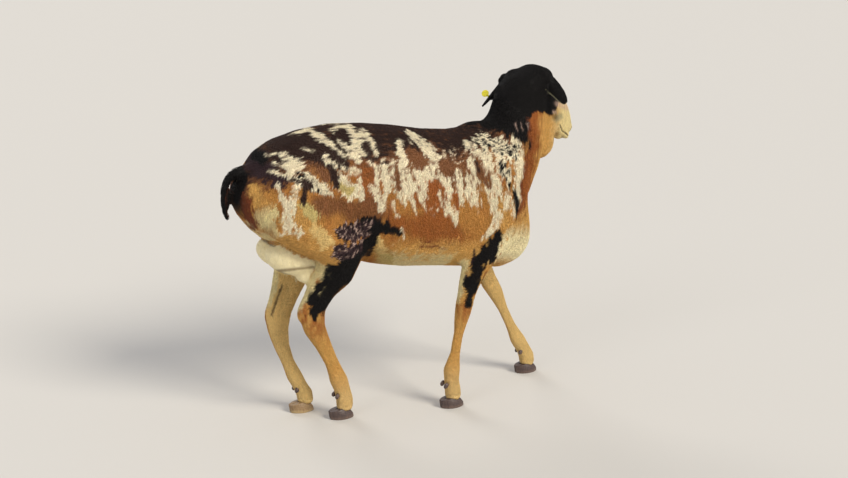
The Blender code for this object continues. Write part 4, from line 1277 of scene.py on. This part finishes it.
def painted_material(name):
    """The painted colour, varied by fine noise, which also roughens the surface."""
    scale, span, roughness, bump, coat, specular = LOOKS[name]
    made, nodes, links, shader = principled(name)
    shader.inputs["Roughness"].default_value = roughness
    shader.inputs["Specular IOR Level"].default_value = specular
    shader.inputs["Coat Weight"].default_value = coat
    shader.inputs["Coat Roughness"].default_value = 0.04
    colour = nodes.new("ShaderNodeAttribute")
    colour.attribute_name = "coat"
    place = nodes.new("ShaderNodeTexCoord")
    grain = nodes.new("ShaderNodeTexNoise")
    grain.inputs["Scale"].default_value = scale
    grain.inputs["Detail"].default_value = 4.0
    reach = nodes.new("ShaderNodeMapRange")
    reach.inputs["To Min"].default_value, reach.inputs["To Max"].default_value = span
    mix = nodes.new("ShaderNodeVectorMath")
    mix.operation = "SCALE"
    joined = [
        (place.outputs["Object"], grain.inputs["Vector"]),
        (grain.outputs["Fac"], reach.inputs["Value"]),
        (colour.outputs["Color"], mix.inputs[0]),
        (reach.outputs["Result"], mix.inputs["Scale"]),
        (mix.outputs["Vector"], shader.inputs["Base Color"]),
    ]
    if bump:
        raised = nodes.new("ShaderNodeBump")
        raised.inputs["Strength"].default_value = 0.5
        raised.inputs["Distance"].default_value = bump
        joined.append((grain.outputs["Fac"], raised.inputs["Height"]))
        joined.append((raised.outputs["Normal"], shader.inputs["Normal"]))
    for source, target in joined:
        links.new(source, target)
    return made


# Iris and slit pupil as shares of the eyeball's radius, and the bulge of the clear front.
IRIS = 0.66
PUPIL_HALF = (0.38, 0.13)
CORNEA = 0.0012


def build_eye(name, side, look):
    """An eyeball with a bulging front, a ringed amber iris and a level slit pupil."""
    centre, out, along, rise = eye_axes(side)
    rays, _, triangles = sphere(*EYE_SEGMENTS, 1.0)
    rays = unit(rays)
    rays = rays[:, :1] * along + rays[:, 1:2] * rise * side + rays[:, 2:] * out
    a, b, front = rays @ along, rays @ rise, rays @ out
    around = np.where(front > 0, np.hypot(a, b), 2.0)
    radius = EYEBALL + CORNEA * ramp(0.80, 0.30, around)
    turn = np.arctan2(b, a)
    spokes = noise(np.stack([turn * 9, around * 3, np.full(len(a), side * 5.0)], 1), 1.0, 41)
    spokes = (1 + 0.45 * spokes) * (0.55 + 0.45 * ramp(0.12, 0.45, around))
    inside = ramp(IRIS + 0.03, IRIS - 0.03, around)[:, None]
    colours = linear(COLOURS["eyeball"]) * (1 - inside)
    colours = colours + linear(COLOURS["iris"]) * spokes[:, None] * inside
    slit = ((np.abs(a) / PUPIL_HALF[0]) ** 3 + (np.abs(b) / PUPIL_HALF[1]) ** 3) ** (1 / 3)
    ring = 0.9 * bell((around - IRIS) / 0.07)
    dark = np.maximum(ring, ramp(1.12, 0.92, slit) * (front > 0))
    obj = add_object(name, make_mesh(name, centre + rays * radius[:, None], triangles))
    dress(obj, tinted(colours, "pupil", dark), look, name.replace("ball", "eye"))


# How finely the claws, the dewclaws and the tag are rebuilt, and how often smoothed.
CLAW_VOXEL = 0.0010
CLAW_SMOOTHING = 8
SPUR_VOXEL = 0.0009
SPUR_SMOOTHING = 3
TAG_VOXEL = 0.0005
TAG_SMOOTHING = 2
# The height of one growth ring, and the dark and the worn colour of the claws; the left
# hind foot is paler than the others.
CLAW_RING = 0.0042
CLAW_COLOURS = {
    "other": ((52, 40, 42), (122, 100, 88)),
    "hind_left": ((112, 84, 58), (206, 180, 132)),
}


def dress(piece, colours, look, node):
    """Gives a piece its colours, material and body, and hides the node it stands for."""
    colour_attribute(piece.data, np.clip(colours, 0, 1))
    piece.data.materials.append(look)
    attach(piece, "root")
    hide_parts(node)


def remade(name, node, voxel, passes):
    """A finer, rounded copy of a solid, as object, points, triangles and outward normals."""
    points, _, triangles = welded(node)
    obj = add_object(name, make_mesh(name, points, triangles))
    points, triangles = remeshed(obj, voxel, passes)
    return obj, points, triangles, normals_of(points, triangles)


def horn_colours(kind, share):
    """From the dark to the worn colour of a claw, by a share of 0 to 1 at each point."""
    base, pale = CLAW_COLOURS.get(kind, CLAW_COLOURS["other"])
    return linear(base) * (1 - share[:, None]) + linear(pale) * share[:, None]


def build_claw(node, look):
    """A claw with growth rings, fine grooves down its wall and a worn, level sole."""
    name = node.replace("claw", "hoof")
    obj, points, triangles, normals = remade(name, node, CLAW_VOXEL, CLAW_SMOOTHING)
    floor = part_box(node)[0][2]
    height = points[:, 2] - floor
    rings = np.sin(2 * math.pi * (height + 0.0012 * noise(points, 0.012, 51)) / CLAW_RING)
    grain = noise(points, (0.0011, 0.0011, 0.010), 52)
    wall = ramp(0.9, 0.5, np.abs(normals[:, 2]))
    worn = noise(points, 0.006, 53) * ramp(0.007, 0.001, height)
    relief = wall * (0.00010 * rings + 0.00008 * grain) + 0.0005 * np.minimum(worn, 0)
    points = points + normals * relief[:, None]
    points[:, 2] = np.maximum(points[:, 2], floor)
    obj.data = make_mesh(name, points, triangles)
    share = 0.20 + 0.18 * grain + 0.08 * rings * wall + 0.35 * ramp(0.012, 0.001, height)
    share = np.maximum(np.clip(share, 0, 1), 0.6 * ramp(0.024, 0.030, height))
    dress(obj, horn_colours("_".join(node.split("_")[1:3]), share), look, node)


def build_dewclaw(node, look):
    """A small blunt, ridged horn behind the fetlock."""
    name = node.replace("dewclaw", "spur")
    obj, points, triangles, normals = remade(name, node, SPUR_VOXEL, SPUR_SMOOTHING)
    grain = noise(points, (0.0012, 0.0012, 0.004), 54)
    lump = noise(points, 0.0045, 55)
    points = points + normals * (0.0003 * grain + 0.0007 * lump)[:, None]
    obj.data = make_mesh(name, points, triangles)
    share = np.clip(0.35 + 0.5 * grain, 0, 1)
    dress(obj, horn_colours("other", share), look, node)


def build_tag(look):
    """The round plastic tag with softened edges and a little dirt."""
    obj, points, triangles, normals = remade("tag", "ear_tag", TAG_VOXEL, TAG_SMOOTHING)
    dirt = ramp(0.15, 0.55, noise(points, 0.0035, 56) + 0.4 * noise(points, 0.0012, 57))
    colours = tinted(np.tile(linear(COLOURS["tag"]), (len(points), 1)), "dirt", 0.35 * dirt)
    points = points + normals * (0.00008 * noise(points, 0.0012, 58))[:, None]
    obj.data = make_mesh("tag", points, triangles)
    dress(obj, colours, look, "ear_tag")


# Soft suns: name, where they shine from, strength and tint.
LIGHTS = (
    ("key", (1.3, -2.9, 2.4), 2.8, (1.0, 0.94, 0.82)),
    ("fill", (-3.0, -1.6, 2.0), 0.30, (0.94, 0.97, 1.0)),
    ("back", (-0.5, 3.0, 2.2), 0.70, (1.0, 0.98, 0.95)),
)
SUN_WIDTH = math.radians(24)
SKY_COLOUR = (0.95, 0.96, 1.0, 1)
SKY_STRENGTH = 0.55
FLOOR_COLOUR = (0.60, 0.58, 0.55, 1)
FLOOR_SIZE = 400


def build_floor():
    bpy.ops.mesh.primitive_plane_add(size=FLOOR_SIZE)
    floor = bpy.context.object
    floor.name = "floor"
    made, _, _, shader = principled("floor")
    shader.inputs["Base Color"].default_value = FLOOR_COLOUR
    shader.inputs["Roughness"].default_value = 0.9
    floor.data.materials.append(made)


def light_up():
    """A pale sky and soft suns."""
    world = bpy.data.worlds.new("studio")
    world.use_nodes = True
    sky = world.node_tree.nodes["Background"]
    sky.inputs["Color"].default_value = SKY_COLOUR
    sky.inputs["Strength"].default_value = SKY_STRENGTH
    bpy.context.scene.world = world
    bpy.context.scene.view_settings.view_transform = "Standard"
    for name, place, power, tint in LIGHTS:
        light = bpy.data.lights.new(name, "SUN")
        light.angle = SUN_WIDTH
        light.energy = power
        light.color = tint
        lamp = add_object(name, light)
        lamp.location = place
        lamp.rotation_euler = Vector(place).to_track_quat("Z", "Y").to_euler()


def place_camera():
    """The camera of the photograph."""
    lens = bpy.data.cameras.new("camera")
    lens.sensor_width = SENSOR
    lens.lens = FOCAL_PIXELS / PHOTO_WIDTH * SENSOR
    camera = add_object("camera", lens)
    camera.location = CAMERA_PLACE
    camera.rotation_euler = Vector(photo_axes()[2]).to_track_quat("-Z", "Y").to_euler()
    bpy.context.scene.camera = camera


def build_hard_parts():
    """The eyes, the claws, the dewclaws and the tag."""
    eye_look = painted_material("eye")
    for side, word in zip(SIDES, ("right", "left")):
        build_eye("ball_" + word, side, eye_look)
    horn_look = painted_material("horn")
    for node in frame["nodes"]:
        if node.startswith("claw"):
            build_claw(node, horn_look)
        elif node.startswith("dewclaw"):
            build_dewclaw(node, horn_look)
    build_tag(painted_material("tag"))


def build_flesh():
    """The skin in place of every node of flesh, and the coat on it."""
    skin, labels, edges = build_skin()
    points, triangles = mesh_arrays(skin.data)
    normals = normals_of(points, triangles)
    flow = lie_of_coat(points, normals, labels, edges)
    colour_attribute(skin.data, painted(points, normals, labels))
    unwrap(skin)
    skin.data.materials.append(painted_material("coat_skin"))
    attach(skin, "root")
    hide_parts(*skin_nodes())
    uvs = np.empty(len(skin.data.loops) * 2, np.float32)
    skin.data.uv_layers["OFBake"].data.foreach_get("uv", uvs)
    uvs = uvs.reshape(-1, 3, 2)
    build_coat(points, normals, triangles, flow, labels, uvs, painted_material("coat"))


for obj in list(bpy.data.objects):
    bpy.data.objects.remove(obj)
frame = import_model()
build_floor()
light_up()
place_camera()
build_flesh()
build_hard_parts()
